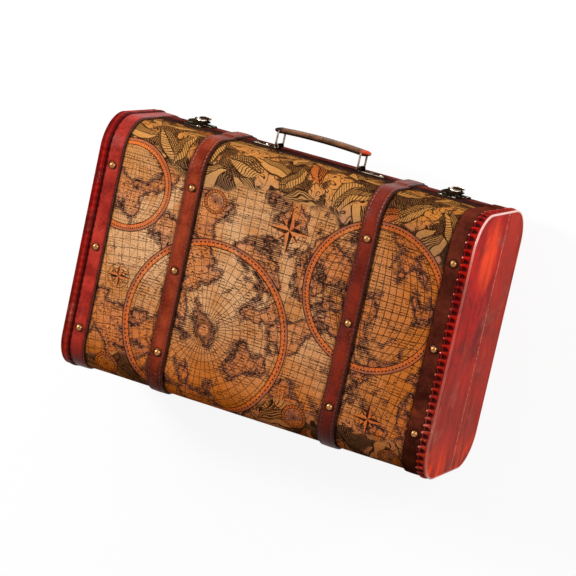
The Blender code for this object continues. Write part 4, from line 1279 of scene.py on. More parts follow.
@dataclass(frozen=True)
class Half:
    """One half of the case: the outline of its leather, seen along the case."""

    name: str
    up: float
    seam: float
    wall: float
    width: float
    middle: float
    radius: float = 0.036

    @classmethod
    def measured(cls, name: str, up: float) -> "Half":
        """A half whose sizes are read from its packed cover.

        Args:
            name: base or lid.
            up: 1 where it stands over the seam, -1 where it hangs under it.

        Returns:
            The half.
        """
        low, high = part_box(f"{name}_printed_cover")
        seam = low.z if up > 0 else high.z
        return cls(name, up, seam, high.z - low.z - cls.radius, high.y - low.y, (low.y + high.y) / 2)

    @property
    def girth(self) -> float:
        """Distance round the leather, from seam to seam."""
        return 2 * self.wall + math.pi * self.radius + self.width - 2 * self.radius

    def section(self, stop: Array) -> tuple[Array, Array, Array, Array]:
        """Points and outward directions of the leather's outline.

        A wall, a quarter round, the broad face, a quarter round and a wall, worked out on one side of the
        middle and mirrored to the other.

        Args:
            stop: distances round the half.

        Returns:
            y, z, and the outward direction's y and z.
        """
        near = np.minimum(stop, self.girth - stop)
        side = np.where(stop > self.girth / 2, -1.0, 1.0)
        angle = np.clip((near - self.wall) / self.radius, 0, math.pi / 2)
        flat = np.maximum(near - self.wall - self.radius * math.pi / 2, 0)
        y = -self.width / 2 + self.radius * (1 - np.cos(angle)) + flat
        z = np.minimum(near, self.wall) + self.radius * np.sin(angle)
        return self.middle + side * y, self.seam + self.up * z, -side * np.cos(angle), self.up * np.sin(angle)

    def place(self, x: Array, stop: Array, height: Array) -> Array:
        """Points at x, a stop round the leather and a height over it."""
        y, z, out_y, out_z = self.section(stop)
        return spread(x, y + height * out_y, z + height * out_z)

    def stops(self, pitch: float) -> Array:
        """Stops at an even pitch, as near as fits, as a column."""
        return np.linspace(0, self.girth, round(self.girth / pitch) + 1)[:, None]

    def stop_at(self, y: float) -> float:
        """Stop of a place on the broad face."""
        return self.wall + self.radius * math.pi / 2 + y - (self.middle - self.width / 2 + self.radius)


def middle_of(node: str) -> Pair:
    """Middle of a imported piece, as x and y."""
    low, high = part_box(node)
    return (low.x + high.x) / 2, (low.y + high.y) / 2


def ripple(x: Array, stop: Array, size: float) -> Array:
    """Small swells of hand-laid leather: four sine waves that cross each other, within the given size."""
    waves = (np.sin(x * 61 + stop * 23) + np.sin(x * 27 - stop * 71 + 1.3)
             + np.sin(x * 113 + stop * 97 + 0.7) + np.sin(stop * 151 - x * 89 + 2.1))
    return waves / 4 * size


class Side(Enum):
    """The two ends of the case. The name is the pieces' word, the value the sign of x."""

    left = -1.0
    right = 1.0


@dataclass
class Covers:
    """Printed leather of each half."""

    half: Half
    thickness: float = 0.0012
    swell: float = 0.00010
    pitch: float = 0.0027

    def build(self, finish: Finish) -> None:
        """A sheet round the half whose outer side ripples a little, with its inner side left plain."""
        name = f"{self.half.name}_printed_cover"
        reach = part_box(name)[1].x
        across = np.linspace(-reach, reach, round(2 * reach / self.pitch) + 1)
        stop = self.half.stops(self.pitch)
        outer = self.half.place(across, stop, ripple(across, stop, self.swell) - self.swell)
        inner = self.half.place(across[[-1, 0]], stop, -self.thickness)
        piece = Piece(name).loft(np.concatenate([outer, inner], axis=1),
                                 spread(np.concatenate([across, across[[-1, 0]]]), stop))
        piece.finish(finish, self.half.name, "printed_leather")


@dataclass
class Strip:
    """A leather strip laid round a half, with rounded edges and a crown."""

    half: Half
    name: str
    thickness: float
    rounding: float = 0.0009
    crown: float = 0.0003
    under: float = 0.0003
    swell: float = 0.00006
    pitch: float = 0.0012
    samples: int = 37
    low_shade: float = 0.0019
    high_shade: float = 0.0011
    dent_depth: float = 0.0006
    dent_radius: float = 0.0055
    # A ring of painted shade round each nail head.
    nail_ring: float = 0.0048
    nail_ring_width: float = 0.0009
    dents: tuple[Pair, ...] = ()

    def __post_init__(self) -> None:
        """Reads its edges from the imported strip; the middle is that of its width."""
        self.low, self.high = (corner.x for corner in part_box(self.name))
        self.middle = (self.low + self.high) / 2
        self.half_width = (self.high - self.low) / 2

    def lift(self, stop: Array) -> Array:
        """Height of the underside."""
        return np.full_like(stop, self.under)

    def relief(self, aside: Array) -> Array:
        """Change of the top's height at a distance from the strip's middle line."""
        return -self.crown * (aside / self.half_width) ** 2

    def top(self, x: Array, stop: Array) -> Array:
        """Height of the top over the underside.

        The thickness, less the crown towards the edges, less a quarter round at each edge, less a round
        dent at each nail.
        """
        aside = np.abs(x - self.middle)
        past = np.clip(aside - (self.half_width - self.rounding), 0, self.rounding)
        height = self.thickness + self.relief(aside)
        height = height - (self.rounding - np.sqrt(self.rounding ** 2 - past ** 2))
        for dent_x, dent_stop in self.dents:
            away = np.hypot(x - dent_x, stop - dent_stop)
            height = height - self.dent_depth * np.exp(-(away / self.dent_radius) ** 4)
        return height + ripple(x, stop, self.swell) - self.swell

    def groove_mark(self, aside: Array) -> Array:
        """Painted shade of the pressed lines at a distance from the middle line, as a mark; a plain strip has
        none.
        """
        return 0 * aside

    def build(self, finish: Finish, slot: str) -> None:
        """Rings across the strip, from its far to its near edge over the top, closed along the underside.

        The mark falls off from both edges, for their dye, and is raised as painted shade in the pressed lines
        and in a ring round each nail.
        """
        stop = self.half.stops(self.pitch)
        lift = self.lift(stop)
        x = self.middle + crowded(self.samples) * self.half_width
        foot_x = np.array([self.high, self.low])
        points = np.concatenate([self.half.place(x, stop, lift + self.top(x, stop)),
                                 self.half.place(foot_x, stop, lift)], axis=1)
        all_x = np.concatenate([x, foot_x])
        # Edge dye falls off from both edges; the wider fall-off at the low-x edge is painted shade on the
        # side away from the key lamp.
        edge = np.maximum(np.exp(-(all_x - self.low) / self.low_shade),
                          np.exp(-(self.high - all_x) / self.high_shade))
        edge = np.maximum(edge, self.groove_mark(np.abs(all_x - self.middle)))
        # Painted shade in a ring round each nail head.
        for dent_x, dent_stop in self.dents:
            away = np.hypot(all_x - dent_x, stop - dent_stop)
            edge = np.maximum(edge, 0.6 * bell(away - self.nail_ring, self.nail_ring_width))
        Piece(self.name).loft(points, spread(all_x, stop), edge).finish(finish, self.half.name, slot)


@dataclass
class Strap(Strip):
    """A strap: it steps over the rim band near each seam, and is stitched in a groove along both edges."""

    rim_edge: float = 0.0186
    ramp_length: float = 0.006
    over_rim: float = 0.0022
    groove_from_edge: float = 0.0029
    groove_width: float = 0.0007
    groove_depth: float = 0.00045
    crease_from_edge: float = 0.0049
    crease_share: float = 0.6
    crease_depth: float = 0.00028
    stitch_pitch: float = 0.0048
    stitch_length: float = 0.0034
    stitch_slant: float = 0.0004
    stitch_margin: float = 0.004
    thread: float = 0.00042

    def lift(self, stop: Array) -> Array:
        """Height of the underside: over the rim band at the seams, down on the leather past a smooth ramp."""
        from_seam = np.minimum(stop, self.half.girth - stop)
        share = eased(ramp(from_seam, self.rim_edge, self.ramp_length))
        return self.under + (self.over_rim - self.under) * (1 - share)

    def pressed_lines(self, aside: Array) -> tuple[Array, Array]:
        """The stitching groove and the line inside it as bell curves, at a distance from the middle line."""
        from_edge = self.half_width - aside
        return (bell(from_edge - self.groove_from_edge, self.groove_width),
                bell(from_edge - self.crease_from_edge, self.groove_width * self.crease_share))

    def relief(self, aside: Array) -> Array:
        """Crown, less the groove and the line."""
        groove, crease = self.pressed_lines(aside)
        return super().relief(aside) - self.groove_depth * groove - self.crease_depth * crease

    def groove_mark(self, aside: Array) -> Array:
        """Painted shade in the groove and in the line, as a mark."""
        groove, crease = self.pressed_lines(aside)
        return 0.55 * groove + 0.42 * crease

    def stitching(self, finish: Finish) -> None:
        """Stitches of waxed thread: a bead swollen in its middle and sunk at both ends, one a pitch."""
        girth, pitch = self.half.girth, self.stitch_pitch
        count = int((girth - self.stitch_margin) / pitch)
        centres = (np.arange(count) + 0.5) * pitch + (girth - count * pitch) / 2
        along = np.array([-0.5, -0.38, 0.0, 0.38, 0.5])[:, None]
        swell = np.array([0.35, 0.85, 1.0, 0.85, 0.35])[:, None]
        turn = np.linspace(0, 2 * math.pi, 7)[None, :-1]
        stop = centres[:, None, None] + along * self.stitch_length + 0 * turn
        piece = Piece(f"{self.name}_stitches")
        for hand in HANDS:
            line = self.middle + hand * (self.half_width - self.groove_from_edge)
            x = line + self.thread * swell * np.cos(turn) + along * self.stitch_slant
            base = self.lift(stop) + self.top(np.full_like(stop, line), stop)
            height = base + self.thread * swell * (np.sin(turn) * 0.9 + 0.35)
            piece.loft(self.half.place(x, stop, height), spread(x, stop))
        piece.finish(finish, self.half.name, "strap_leather", added=True)


@dataclass
class RimBand:
    """Leather strip along the seam, on the latch side (front) or the hinge side (back)."""

    half: Half
    face: str
    thickness: float = 0.0016
    rounding: float = 0.0008
    near_share: float = 0.4
    face_margins: Pair = (0.001, 0.002)
    under: float = 0.0003
    swell: float = 0.00005
    shade: float = 0.0009

    def build(self, finish: Finish) -> None:
        """A flat section, rounded a little at the seam and more at its far edge, carried along the case."""
        name = f"{self.half.name}_rim_band_{self.face}"
        low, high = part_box(name)
        width = high.z - low.z
        top = self.under + self.thickness
        near_round = self.rounding * self.near_share
        face = spread(np.linspace(self.face_margins[0], width - self.face_margins[1], 12), top)
        near_edge = arc((near_round, top - near_round), near_round, 180, 90, 4)
        far_edge = arc((width - self.rounding, top - self.rounding), self.rounding, 90, 0, 6)
        section = ring_of((0.0, self.under), near_edge, face, far_edge, (width, self.under))
        x = np.linspace(low.x, high.x, 180)[:, None]
        away, height = section.T
        stop = away if self.face == "front" else self.half.girth - away
        height = height + np.where(height > self.under, ripple(x, away * 2, self.swell), 0)
        edge = np.exp(-np.minimum(away, width - away) / self.shade)
        points = self.half.place(x, stop, height - self.swell)
        Piece(name).loft(points, spread(x, away), edge).finish(finish, self.half.name, "rim_leather")


@dataclass
class EndCover:
    """Leather end panel with a rolled bead round it and a gathered edge beside the band."""

    half: Half
    side: Side
    thickness: float = 0.0032
    stand: float = 0.0026
    shoulder_share: float = 0.8
    bead: float = 0.0012
    field_drop: float = 0.0005
    field_back: float = 0.00025
    field_swell: float = 0.00022
    pleat_pitch: float = 0.0080
    steps_a_pleat: int = 14
    reach: float = 0.0125
    scallop: float = 0.0016
    over_band: float = 0.0023
    edge_thickness: float = 0.0005
    foot: float = 0.0016
    fullness: float = 0.0011
    under: float = 0.0003
    tuck: Pair = (0.0096, 0.0097)
    pattern_pitch: float = 0.0007
    calm: float = 0.0
    core: float = 0.45
    pressed: float = 0.0001

    def pleats(self, stop: Array, share: Array) -> Array:
        """Height of the gathers, 0 in a fold and 1 on a ridge.

        A sine's size to a power that falls along the strip, so that narrow ridges spread to the rolled
        edge. Calm gathers keep only a part of their depth.

        Args:
            stop: stops round the half, as a column.
            share: share of the way from the scalloped edge to the rolled edge, as a row.

        Returns:
            Heights, stops by shares.
        """
        phase = stop / self.half.girth * round(self.half.girth / self.pleat_pitch)
        uneven = 0.88 + 0.12 * np.sin(np.floor(phase) * 2.4 + self.side.value)
        sine = np.abs(np.sin(math.pi * (phase + 0.10 * np.sin(math.pi * share))))
        return 1 - (1 - uneven * sine ** (3.4 - 2.2 * share)) * (1 - 0.65 * self.calm)

    def gathers(self, outer: float, stop: Array) -> tuple[Array, Array, Array]:
        """The gathered strip from its scalloped edge on the band to the rolled edge's foot.

        A ridge starts farther in over the band and bulges as a half sine to a power, and a fold starts
        farther out and drops steeply to the leather.

        Args:
            outer: distance of the panel's face from the middle of the case.
            stop: stops round the half, as a column.

        Returns:
            x, height and mark of each point.
        """
        share = np.linspace(0, 1, 17)[None]
        gather = self.pleats(stop, share)
        shoulder = self.stand * self.shoulder_share
        first = outer - self.reach + self.scallop * (1 - gather[:, :1])
        x = first + (outer - 2 * self.bead - first) * share
        start = self.over_band + self.edge_thickness * gather
        ridge = start * (1 - share) + shoulder * share + self.fullness * np.sin(math.pi * share) ** 0.7
        back = ramp(share, 0.62, 0.38)
        fold = start + (self.foot - start) * eased(ramp(share, 0.0, 0.28))
        fold = fold + (shoulder - fold) * eased(back)
        # The mark is painted shade in the folds, fading towards the rolled edge; the calm end is darker all
        # over, with painted shade in the gap beside the band.
        mark = np.clip((1 - gather) * (1.0 - 0.7 * back), 0.5 * self.calm, 1)
        mark = np.maximum(mark, self.calm * (1 - ramp(share, 0.16, 0.14)))
        # Painted highlight along the middle of the calm end's roll, and on the left end's ridge tips.
        mark = mark - 0.34 * self.calm * bell(share - 0.60, 0.11)
        tip = bell(share - 0.10, 0.09) * gather ** 4 * (1 - self.calm)
        return x, fold + (ridge - fold) * gather, mark * (1 - tip) - tip

    def build(self, finish: Finish) -> None:
        """Closed rings from the panel's middle line at the back, round its edge, to the line in front.

        Each field point lies on the straight way from the outline to a shorter line on the seam, and
        stands out by a low crown with swells. Gathers that the case lies on are pressed flat.
        """
        name = f"{self.half.name}_end_cover_{self.side.name}"
        outer = max(abs(corner.x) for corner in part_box(name))
        pleats = round(self.half.girth / self.pleat_pitch)
        stop = np.linspace(0, self.half.girth, pleats * self.steps_a_pleat + 1)[:, None]
        x, height, fold = self.gathers(outer, stop)
        bead = arc((outer - self.bead, self.stand - self.bead), self.bead, 150, -50, 14)
        roll = self.half.place(bead[:, 0], stop, bead[:, 1])
        edge = np.concatenate([self.half.place(x, stop, height), roll], axis=1)
        bulge = np.sqrt(np.sin(np.linspace(0.1, 1, len(bead)) * math.pi))
        # Negative on the left end's bead, for its polish and painted highlight; positive on the calm end's
        # bead, which stays dark.
        rolled = (1.45 * self.calm - 1) * bulge + 0 * stop

        share = np.array([0.012, 0.03, 0.07, 0.13, 0.22, 0.34, 0.48, 0.64, 0.82, 1.0])
        start = edge[:, -1:, 1:]
        line = spread(self.half.middle + (start[..., 0] - self.half.middle) * self.core, self.half.seam)
        inner = start + (line - start) * share[:, None]
        crown = self.field_drop * (1 - ramp(share, 0.0, 0.16) ** 0.5)
        swell = ripple(inner[..., 0] * 0.6, inner[..., 1] * 0.8, self.field_swell) * ramp(share, 0.0, 0.2)
        panel = spread(outer - self.field_back - crown + swell, inner[..., 0], inner[..., 1])
        back = spread(outer - self.thickness, line[..., 0], line[..., 1])
        tuck = self.half.place(outer - np.array([self.thickness, *self.tuck]), stop,
                               np.array([self.under, self.under, self.over_band]))
        points = np.concatenate([edge, panel, back, tuck], axis=1) * np.array([self.side.value, 1.0, 1.0])
        points[..., 2] = np.maximum(points[..., 2], self.pressed)
        plain = np.zeros((len(stop), points.shape[1] - fold.shape[1] - rolled.shape[1]))
        marks = np.concatenate([fold, rolled, plain], axis=1)
        pattern = spread(np.arange(marks.shape[1]) * self.pattern_pitch, stop)
        Piece(name).loft(points, pattern, marks).finish(finish, self.half.name, "end_leather")


@dataclass
class Lining:
    """Cloth skin over the inside of a half."""

    half: Half
    outside: float = -0.0078
    thickness: float = 0.0008
    pitch: float = 0.004
    core: float = 0.45

    def build(self, finish: Finish) -> None:
        """Closed rings from a line on the seam over one end, along the inside and up the other end."""
        name = f"{self.half.name}_lining"
        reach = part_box(name)[1].x
        stop = self.half.stops(self.pitch)
        span = np.linspace(-1, 1, 60)
        skins = []
        for inset in (0.0, self.thickness):
            wall = self.half.place(span * (reach - inset), stop, self.outside - inset)
            line_y = self.half.middle + (wall[:, :1, 1] - self.half.middle) * self.core
            ends = [spread(hand * (reach - inset), line_y, self.half.seam) for hand in HANDS]
            skins.append(np.concatenate([ends[0], wall, ends[1]], axis=1))
        points = np.concatenate([skins[0], skins[1][:, ::-1]], axis=1)
        pattern = spread(points[..., 0] + points[..., 2] * 0.3, stop)
        Piece(name).loft(points, pattern).finish(finish, self.half.name, "lining_cloth")


# Metalwork

@dataclass
class Nail:
    """A domed brass nail head with a thin flange."""

    radius: float = 0.0043
    seat: float = 0.0008
    sides: int = 28

    def build(self, node: str, finish: Finish) -> None:
        """A low dome turned about the nail's axis; the flange is pressed a little into the leather."""
        low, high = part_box(node)
        base = low.z - self.seat
        rise = high.z - base
        turn = np.radians(np.linspace(0, 84, 12))
        dome = spread(self.radius * 0.88 * np.cos(turn), rise * 0.2 + rise * 0.8 * np.sin(turn))
        profile = ring_of((self.radius * 0.8, 0.0), (self.radius, 0.0), (self.radius, rise * 0.10),
                          (self.radius * 0.96, rise * 0.17), dome)
        # The mark brightens the flange's outer edge and the dome towards its top: painted highlights.
        mark = np.concatenate([[0, 0.2, 0.9, 0.2, 0.0], np.linspace(0.25, 0.9, 11)])[:, None]
        rings = turned(profile, self.sides) + np.array([*middle_of(node), base])
        Piece(node).loft(rings, mark=mark).finish(finish, "lid", "antique_brass")


@dataclass
class Mount:
    """A flat place that metalwork is screwed to, on the latch side or the hinge side."""

    face_y: float
    out: float

    def place(self, local: Array) -> Array:
        """Points of (x, z, height out of the face) as points of the case."""
        return spread(local[..., 0], self.face_y + self.out * local[..., 2], local[..., 1])


@dataclass
class Screws:
    """Slotted screws of one plate."""

    radius: float = 0.0021
    height: float = 0.0012
    slot_width: float = 0.00055
    slot_depth: float = 0.0006
    sunk: float = 0.0003

    def head(self) -> Array:
        """Rings of a domed head with a slot cut across it, as (a, b, height) points.

        A square of two parameters is folded onto a disc, so that one set of its lines runs along the slot.
        Each ring is a closed section across the slot, down to the head's foot.
        """
        slot = self.slot_width / self.radius
        across = np.array([-1, -0.8, -0.5, -slot * 1.05, -slot, slot, slot * 1.05, 0.5, 0.8, 1])
        u, v = np.meshgrid(crowded(11), across, indexing="ij")
        x = u * np.sqrt(1 - v ** 2 / 2) * self.radius
        y = v * np.sqrt(1 - u ** 2 / 2) * self.radius
        away = np.clip((x ** 2 + y ** 2) / self.radius ** 2, 0, 1)
        rise = self.height * (0.25 + 0.75 * np.sqrt(1 - away * 0.999))
        top = spread(x, y, rise - np.where(np.abs(v) <= slot, self.slot_depth * (away < 0.995), 0.0))
        foot = top[:, [-1, 0]].copy()
        foot[..., 2] = -self.sunk
        return np.concatenate([top, foot], axis=1)

    def add(self, piece: Piece, mount: Mount, places: Iterable[tuple[float, float, float]]) -> None:
        """Adds a slotted head at each place, each turned a different way.

        Args:
            piece: what the heads belong to.
            mount: face that they stand on.
            places: x, z and height of each head's seat.
        """
        head = self.head()
        # The mark brightens each head towards its rim: a painted highlight.
        edge = 0.75 * np.clip(np.hypot(head[..., 0], head[..., 1]) / self.radius, 0, 1) ** 4
        for index, spot in enumerate(places):
            turn = 0.6 + 1.9 * index + spot[0] * 31
            spin = np.array([[math.cos(turn), math.sin(turn), 0], [-math.sin(turn), math.cos(turn), 0],
                             [0, 0, 1]])
            piece.loft(mount.place(head @ spin + np.array(spot)), mark=edge)

    def pair(self, piece: Piece, mount: Mount, middle_x: float, aside: float, z: float, seat: float) -> None:
        """Adds a head on either side of a middle line."""
        self.add(piece, mount, [(middle_x + hand * aside, z, seat) for hand in HANDS])


@dataclass
class Handle:
    """The carrying handle: two brackets with rolled eyes, two wire rings and an arched leather grip."""

    mount: Mount
    pivot_x: float = 0.050
    middle_z: float = 0.0693
    wire: float = 0.00115
    eye_height: float = 0.0029
    ring_width: float = 0.020
    ring_height: float = 0.0175
    ring_corner: float = 0.0026
    plate: float = 0.0014
    bracket_length: float = 0.031
    bracket_width: float = 0.016
    eye_length: float = 0.0145
    plate_margins: Pair = (0.001, 0.0003)
    neck: Pair = (0.0035, 0.0030)
    tip_radius: float = 0.0052
    screws: Pair = (0.0133, 0.0258)
    grip_nose: float = 0.007
    nose_shade: Pair = (0.005, 0.006)
    grip_arch: float = 0.0018
    grip_end: Pair = (0.0158, 0.0062)
    grip_middle: Pair = (0.0194, 0.0060)
    groove_from_edge: float = 0.0028
    groove_width: float = 0.0007
    groove_depth: float = 0.0003
    stitch_pitch: float = 0.0042
    stitch_length: float = 0.0028
    thread: Pair = (0.00035, 0.00030)

    def build(self) -> None:
        """All pieces of the handle."""
        for side in Side:
            self.bracket(side)
            self.ring(side)
        self.grip()
        self.grip_stitches()

    def bracket(self, side: Side) -> None:
        """A plate with a round tip, rolled into an eye round the ring's bar.

        The middle line runs along the plate and curls up round the wire; a flat section with rounded
        edges follows it, as wide as the plate is there.
        """
        half_plate = self.plate / 2
        curl = arc((0.0, self.eye_height), self.eye_height - half_plate, 215, -90, 26)
        first, last = self.plate_margins
        path = ring_of(curl, spread(np.linspace(first, self.bracket_length - last, 30), half_plate))
        along = unit(np.gradient(path, axis=0))
        normal = np.stack([-along[:, 1], along[:, 0]], axis=-1)
        x = path[:, 0]
        tip_middle = self.bracket_length - self.tip_radius
        width = self.eye_length + (self.bracket_width - self.eye_length) * ramp(x, *self.neck)
        taper = ramp(x, self.bracket_length / 2, tip_middle - self.bracket_length / 2)
        width = width + (2 * self.tip_radius - self.bracket_width) * taper ** 1.5
        past = np.clip(x - tip_middle, 0, self.tip_radius)
        width = np.minimum(width, 2 * np.sqrt(self.tip_radius ** 2 - past ** 2 * 0.995))
        width[:len(curl)] = self.eye_length
        edge = self.plate * 0.30
        section = rounded_box(1.0, -half_plate, half_plate, edge, 3)
        across = np.sign(section[:, 0]) * (width[:, None] / 2 - (0.5 - np.abs(section[:, 0])))
        lifted = path[:, None] + normal[:, None] * section[None, :, 1, None]
        local = spread(side.value * (self.pivot_x + lifted[..., 0]), self.middle_z + across, lifted[..., 1])
        # The mark brightens the plate's rounded edges: brass polished by wear, with a painted highlight.
        mark = ramp(np.abs(section[:, 0]), 0.5 - edge, edge) * 0.6
        piece = Piece(f"handle_bracket_{side.name}").loft(self.mount.place(local), mark=mark)
        Screws().add(piece, self.mount, [(side.value * (self.pivot_x + out), self.middle_z, self.plate)
                                         for out in self.screws])
        piece.finish(BRASS, "lid", "antique_brass")

    def ring(self, side: Side) -> None:
        """A closed wire ring with round corners."""
        half = self.ring_width / 2
        low, high = self.eye_height, self.eye_height + self.ring_height
        corners = [(-half, low), (half, low), (half, high), (-half, high)]
        loop = rounded_path(corners, self.ring_corner, True, 8)
        local = spread(side.value * self.pivot_x, self.middle_z + loop[:, 0], loop[:, 1])
        wire = swept(self.mount.place(local), self.wire, True)
        piece = Piece(f"handle_ring_{side.name}").loft(wire, closed=True)
        piece.finish(WIRE_BRASS, f"ring_{side.name}", "antique_brass")

    def grip_form(self, x: Array) -> tuple[Array, Array, Array]:
        """Width, thickness and height of the grip's middle at places along it."""
        swell = 1.0 - np.minimum(1.0, np.abs(x) / self.pivot_x) ** 2
        off = np.sqrt(1.0 - (0.97 * ramp(np.abs(x), self.pivot_x, self.grip_nose)) ** 2)
        width, thick = (end + (middle - end) * swell for end, middle in zip(self.grip_end, self.grip_middle))
        height = self.eye_height + self.ring_height + self.grip_arch * swell
        return width * (0.4 + 0.6 * off), thick * off, height

    def grip(self) -> None:
        """A superellipse section carried along a low arch, with its noses rounded off."""
        x = ((self.pivot_x + self.grip_nose) * crowded(90))[:, None]
        width, thick, middle = self.grip_form(x)
        turn = np.linspace(0, 2 * math.pi, 40, endpoint=False)
        cos, sin = np.cos(turn), np.sin(turn)
        across = np.sign(cos) * np.abs(cos) ** 0.42 * width / 2
        lift = np.sign(sin) * np.abs(sin) ** 0.62 * thick / 2
        groove = bell(np.abs(across) - width / 2 + self.groove_from_edge, self.groove_width) * (lift > 0)
        local = spread(x, self.middle_z + across, middle + lift - self.groove_depth * groove)
        # Black edge dye along both sides, and painted shade over the grip's underside.
        edge = np.maximum(np.clip(np.abs(across) / (width / 2), 0, 1) ** 8 * 0.4,
                          np.clip((0.14 - lift / thick) / 0.28, 0, 1))
        inset, span = self.nose_shade
        edge = np.maximum(edge, ramp(np.abs(x), self.pivot_x - inset, span) * (x > 0))
        piece = Piece("handle_grip").loft(self.mount.place(local), spread(x, across), edge)
        piece.finish(GRIP_LEATHER, "grip", "grip_leather")

    def grip_stitches(self) -> None:
        """Two rows of small stitches along the grip's outer face."""
        centres = np.arange(-21, 22) * self.stitch_pitch
        centres = centres[np.abs(centres) < self.pivot_x * 0.9]
        along = np.array([-0.5, -0.3, 0.3, 0.5])[:, None]
        swell = np.array([0.4, 1.0, 1.0, 0.4])[:, None]
        turn = np.linspace(0, 2 * math.pi, 7)[None, :-1]
        x = centres[:, None, None] + along * self.stitch_length + 0 * turn
        width, thick, middle = self.grip_form(x)
        piece = Piece("handle_grip_stitches")
        for hand in HANDS:
            line = hand * (width / 2 - self.groove_from_edge)
            local = spread(x, self.middle_z + line + self.thread[0] * swell * np.cos(turn),
                           middle + thick / 2 * 0.86 + self.thread[1] * swell * np.sin(turn))
            piece.loft(self.mount.place(local), spread(line, x))
        piece.finish(STITCH_THREAD, "grip", "grip_leather", added=True)


@dataclass
class Latch:
    """A draw latch: plate with ears, pin, dished lever, wire bail and hook keeper."""

    mount: Mount
    side: Side
    seam: float
    middle_x: float
    plate_size: tuple[float, float, float] = (0.034, 0.017, 0.0012)
    plate_corner: float = 0.004
    plate_bevel: float = 0.0004
    plate_screw: Pair = (0.0132, 0.011)
    edge_from_seam: float = 0.0015
    ear_inner: float = 0.0066
    ear_thickness: float = 0.0012
    ear_radius: float = 0.0026
    ear_edge: Pair = (0.0002, 0.00015)
    pin_radius: float = 0.0009
    pin_past_ear: float = 0.00025
    pin_from_seam: float = 0.007
    pin_height: float = 0.0046
    knuckle: float = 0.0022
    lever_half_width: float = 0.0062
    lever_length: float = 0.0150
    lever_thickness: float = 0.0015
    lever_flare: float = 0.0018
    lever_swell: float = 0.0016
    lever_dish: float = 0.0020
    lever_head: float = 0.0026
    lever_lip: float = 0.0009
    roll_reach: float = 0.0017
    roll_radius: float = 0.0012
    roll_lift: float = 0.0023
    roll_smile: float = 0.0024
    bail_from_pin: float = 0.0055
    bail_height: float = 0.0042
    bail_half_width: float = 0.009
    bail_in_lever: float = 0.0013
    bail_corner: float = 0.0018
    bar_from_seam: float = 0.008
    keeper_size: tuple[float, float, float] = (0.022, 0.0162, 0.001)
    keeper_corner: float = 0.003
    keeper_bevel: float = 0.00035
    keeper_screw: Pair = (0.0078, 0.0027)
    hook_half_width: float = 0.0055
    hook_thickness: float = 0.001
    hook_gap: float = 0.00035
    hook_round: float = 0.0009
    hook_tip: float = 0.0004

    @property
    def pin_z(self) -> float:
        """Height of the lever's pin."""
        return self.seam - self.pin_from_seam

    def build(self) -> None:
        """All pieces of the latch."""
        self.plate()
        self.pin()
        self.lever()
        self.bail()
        self.keeper()

    def shifted(self, local: Array) -> Array:
        """Points measured from the latch's middle line, placed on the case."""
        return self.mount.place(local + np.array([self.middle_x, 0.0, 0.0]))

    def rod(self, half: float, z: float, height: float, radius: float) -> Array:
        """Rings of a rod across the latch with rounded ends."""
        rings = rod(half, (0.4 * radius, 0.0), (radius * 0.85, radius * 0.15), (radius, radius * 0.4))
        return self.shifted(spread(rings[..., 2], z + rings[..., 0], height + rings[..., 1]))

    def plate(self) -> None:
        """A plate with round corners and two round-topped ears for the pin."""
        width, tall, thick = self.plate_size
        high = self.seam - self.edge_from_seam
        rings, mark = plate_rings(rounded_box(width, high - tall, high, self.plate_corner), thick,
                                  self.plate_bevel)
        piece = Piece(f"latch_plate_{self.side.name}").loft(self.shifted(rings), mark=mark)
        outline = ring_of((self.pin_z + self.ear_radius, 0.0),
                          arc((self.pin_z, self.pin_height), self.ear_radius, 0, 180, 14),
                          (self.pin_z - self.ear_radius, 0.0))
        for hand in HANDS:
            ear = bar(outline, (self.ear_inner, self.ear_inner + self.ear_thickness), *self.ear_edge)
            piece.loft(self.shifted(ear * np.array([hand, 1.0, 1.0])), mark=0.2)
        from_middle, from_seam = self.plate_screw
        Screws().pair(piece, self.mount, self.middle_x, from_middle, self.seam - from_seam, thick)
        piece.finish(BRASS, "base", "antique_brass")

    def pin(self) -> None:
        """The pin through the ears."""
        half = self.ear_inner + self.ear_thickness + self.pin_past_ear
        rings = self.rod(half, self.pin_z, self.pin_height, self.pin_radius)
        piece = Piece(f"latch_pin_{self.side.name}").loft(rings, mark=0.4)
        piece.finish(BRASS, "base", "antique_brass")

    def lever(self) -> None:
        """A spoon-like tongue: it swells in width, ends round, and flares out as its length squared.

        Its rim rises as the cube of the distance from the middle or from the neck, whichever is more. A
        short round head with a raised lip reaches past the pin, under a half ring that thins to its ends.
        """
        head = self.lever_head / self.lever_length
        share = np.concatenate([-head * np.cos(np.linspace(0.04, 0.96, 9) * math.pi / 2),
                                np.sin(np.linspace(0, 1, 34) * math.pi / 2)])[:, None]
        before = np.clip(-share / head, 0, 1)
        past = ramp(share, 0.35, 0.65)
        half = self.lever_half_width + self.lever_swell * np.sin(math.pi * past * 0.75)
        half = half * np.sqrt(1 - 0.97 * past ** 4) * np.sqrt(1 - 0.99 * before ** 2)
        across = crowded(19)
        aside = np.abs(across)
        spoon = np.clip(np.maximum(np.maximum(aside, before), past ** 3), 0, 1) ** 3
        long = np.clip(share, 0, 1)
        rise = self.pin_height + self.lever_flare * long ** 2 + self.lever_dish * spoon * (0.8 + 0.2 * long)
        lip = self.lever_lip * np.clip(before * 1.6, 0, 1) ** 2 * np.maximum(aside, before) ** 2
        rise = rise + lip
        z = self.pin_z - self.lever_length * share
        top = spread(half * across, z, rise)
        under = spread(half * across, z, rise - lip - self.lever_thickness * (1 - 0.35 * aside ** 6))
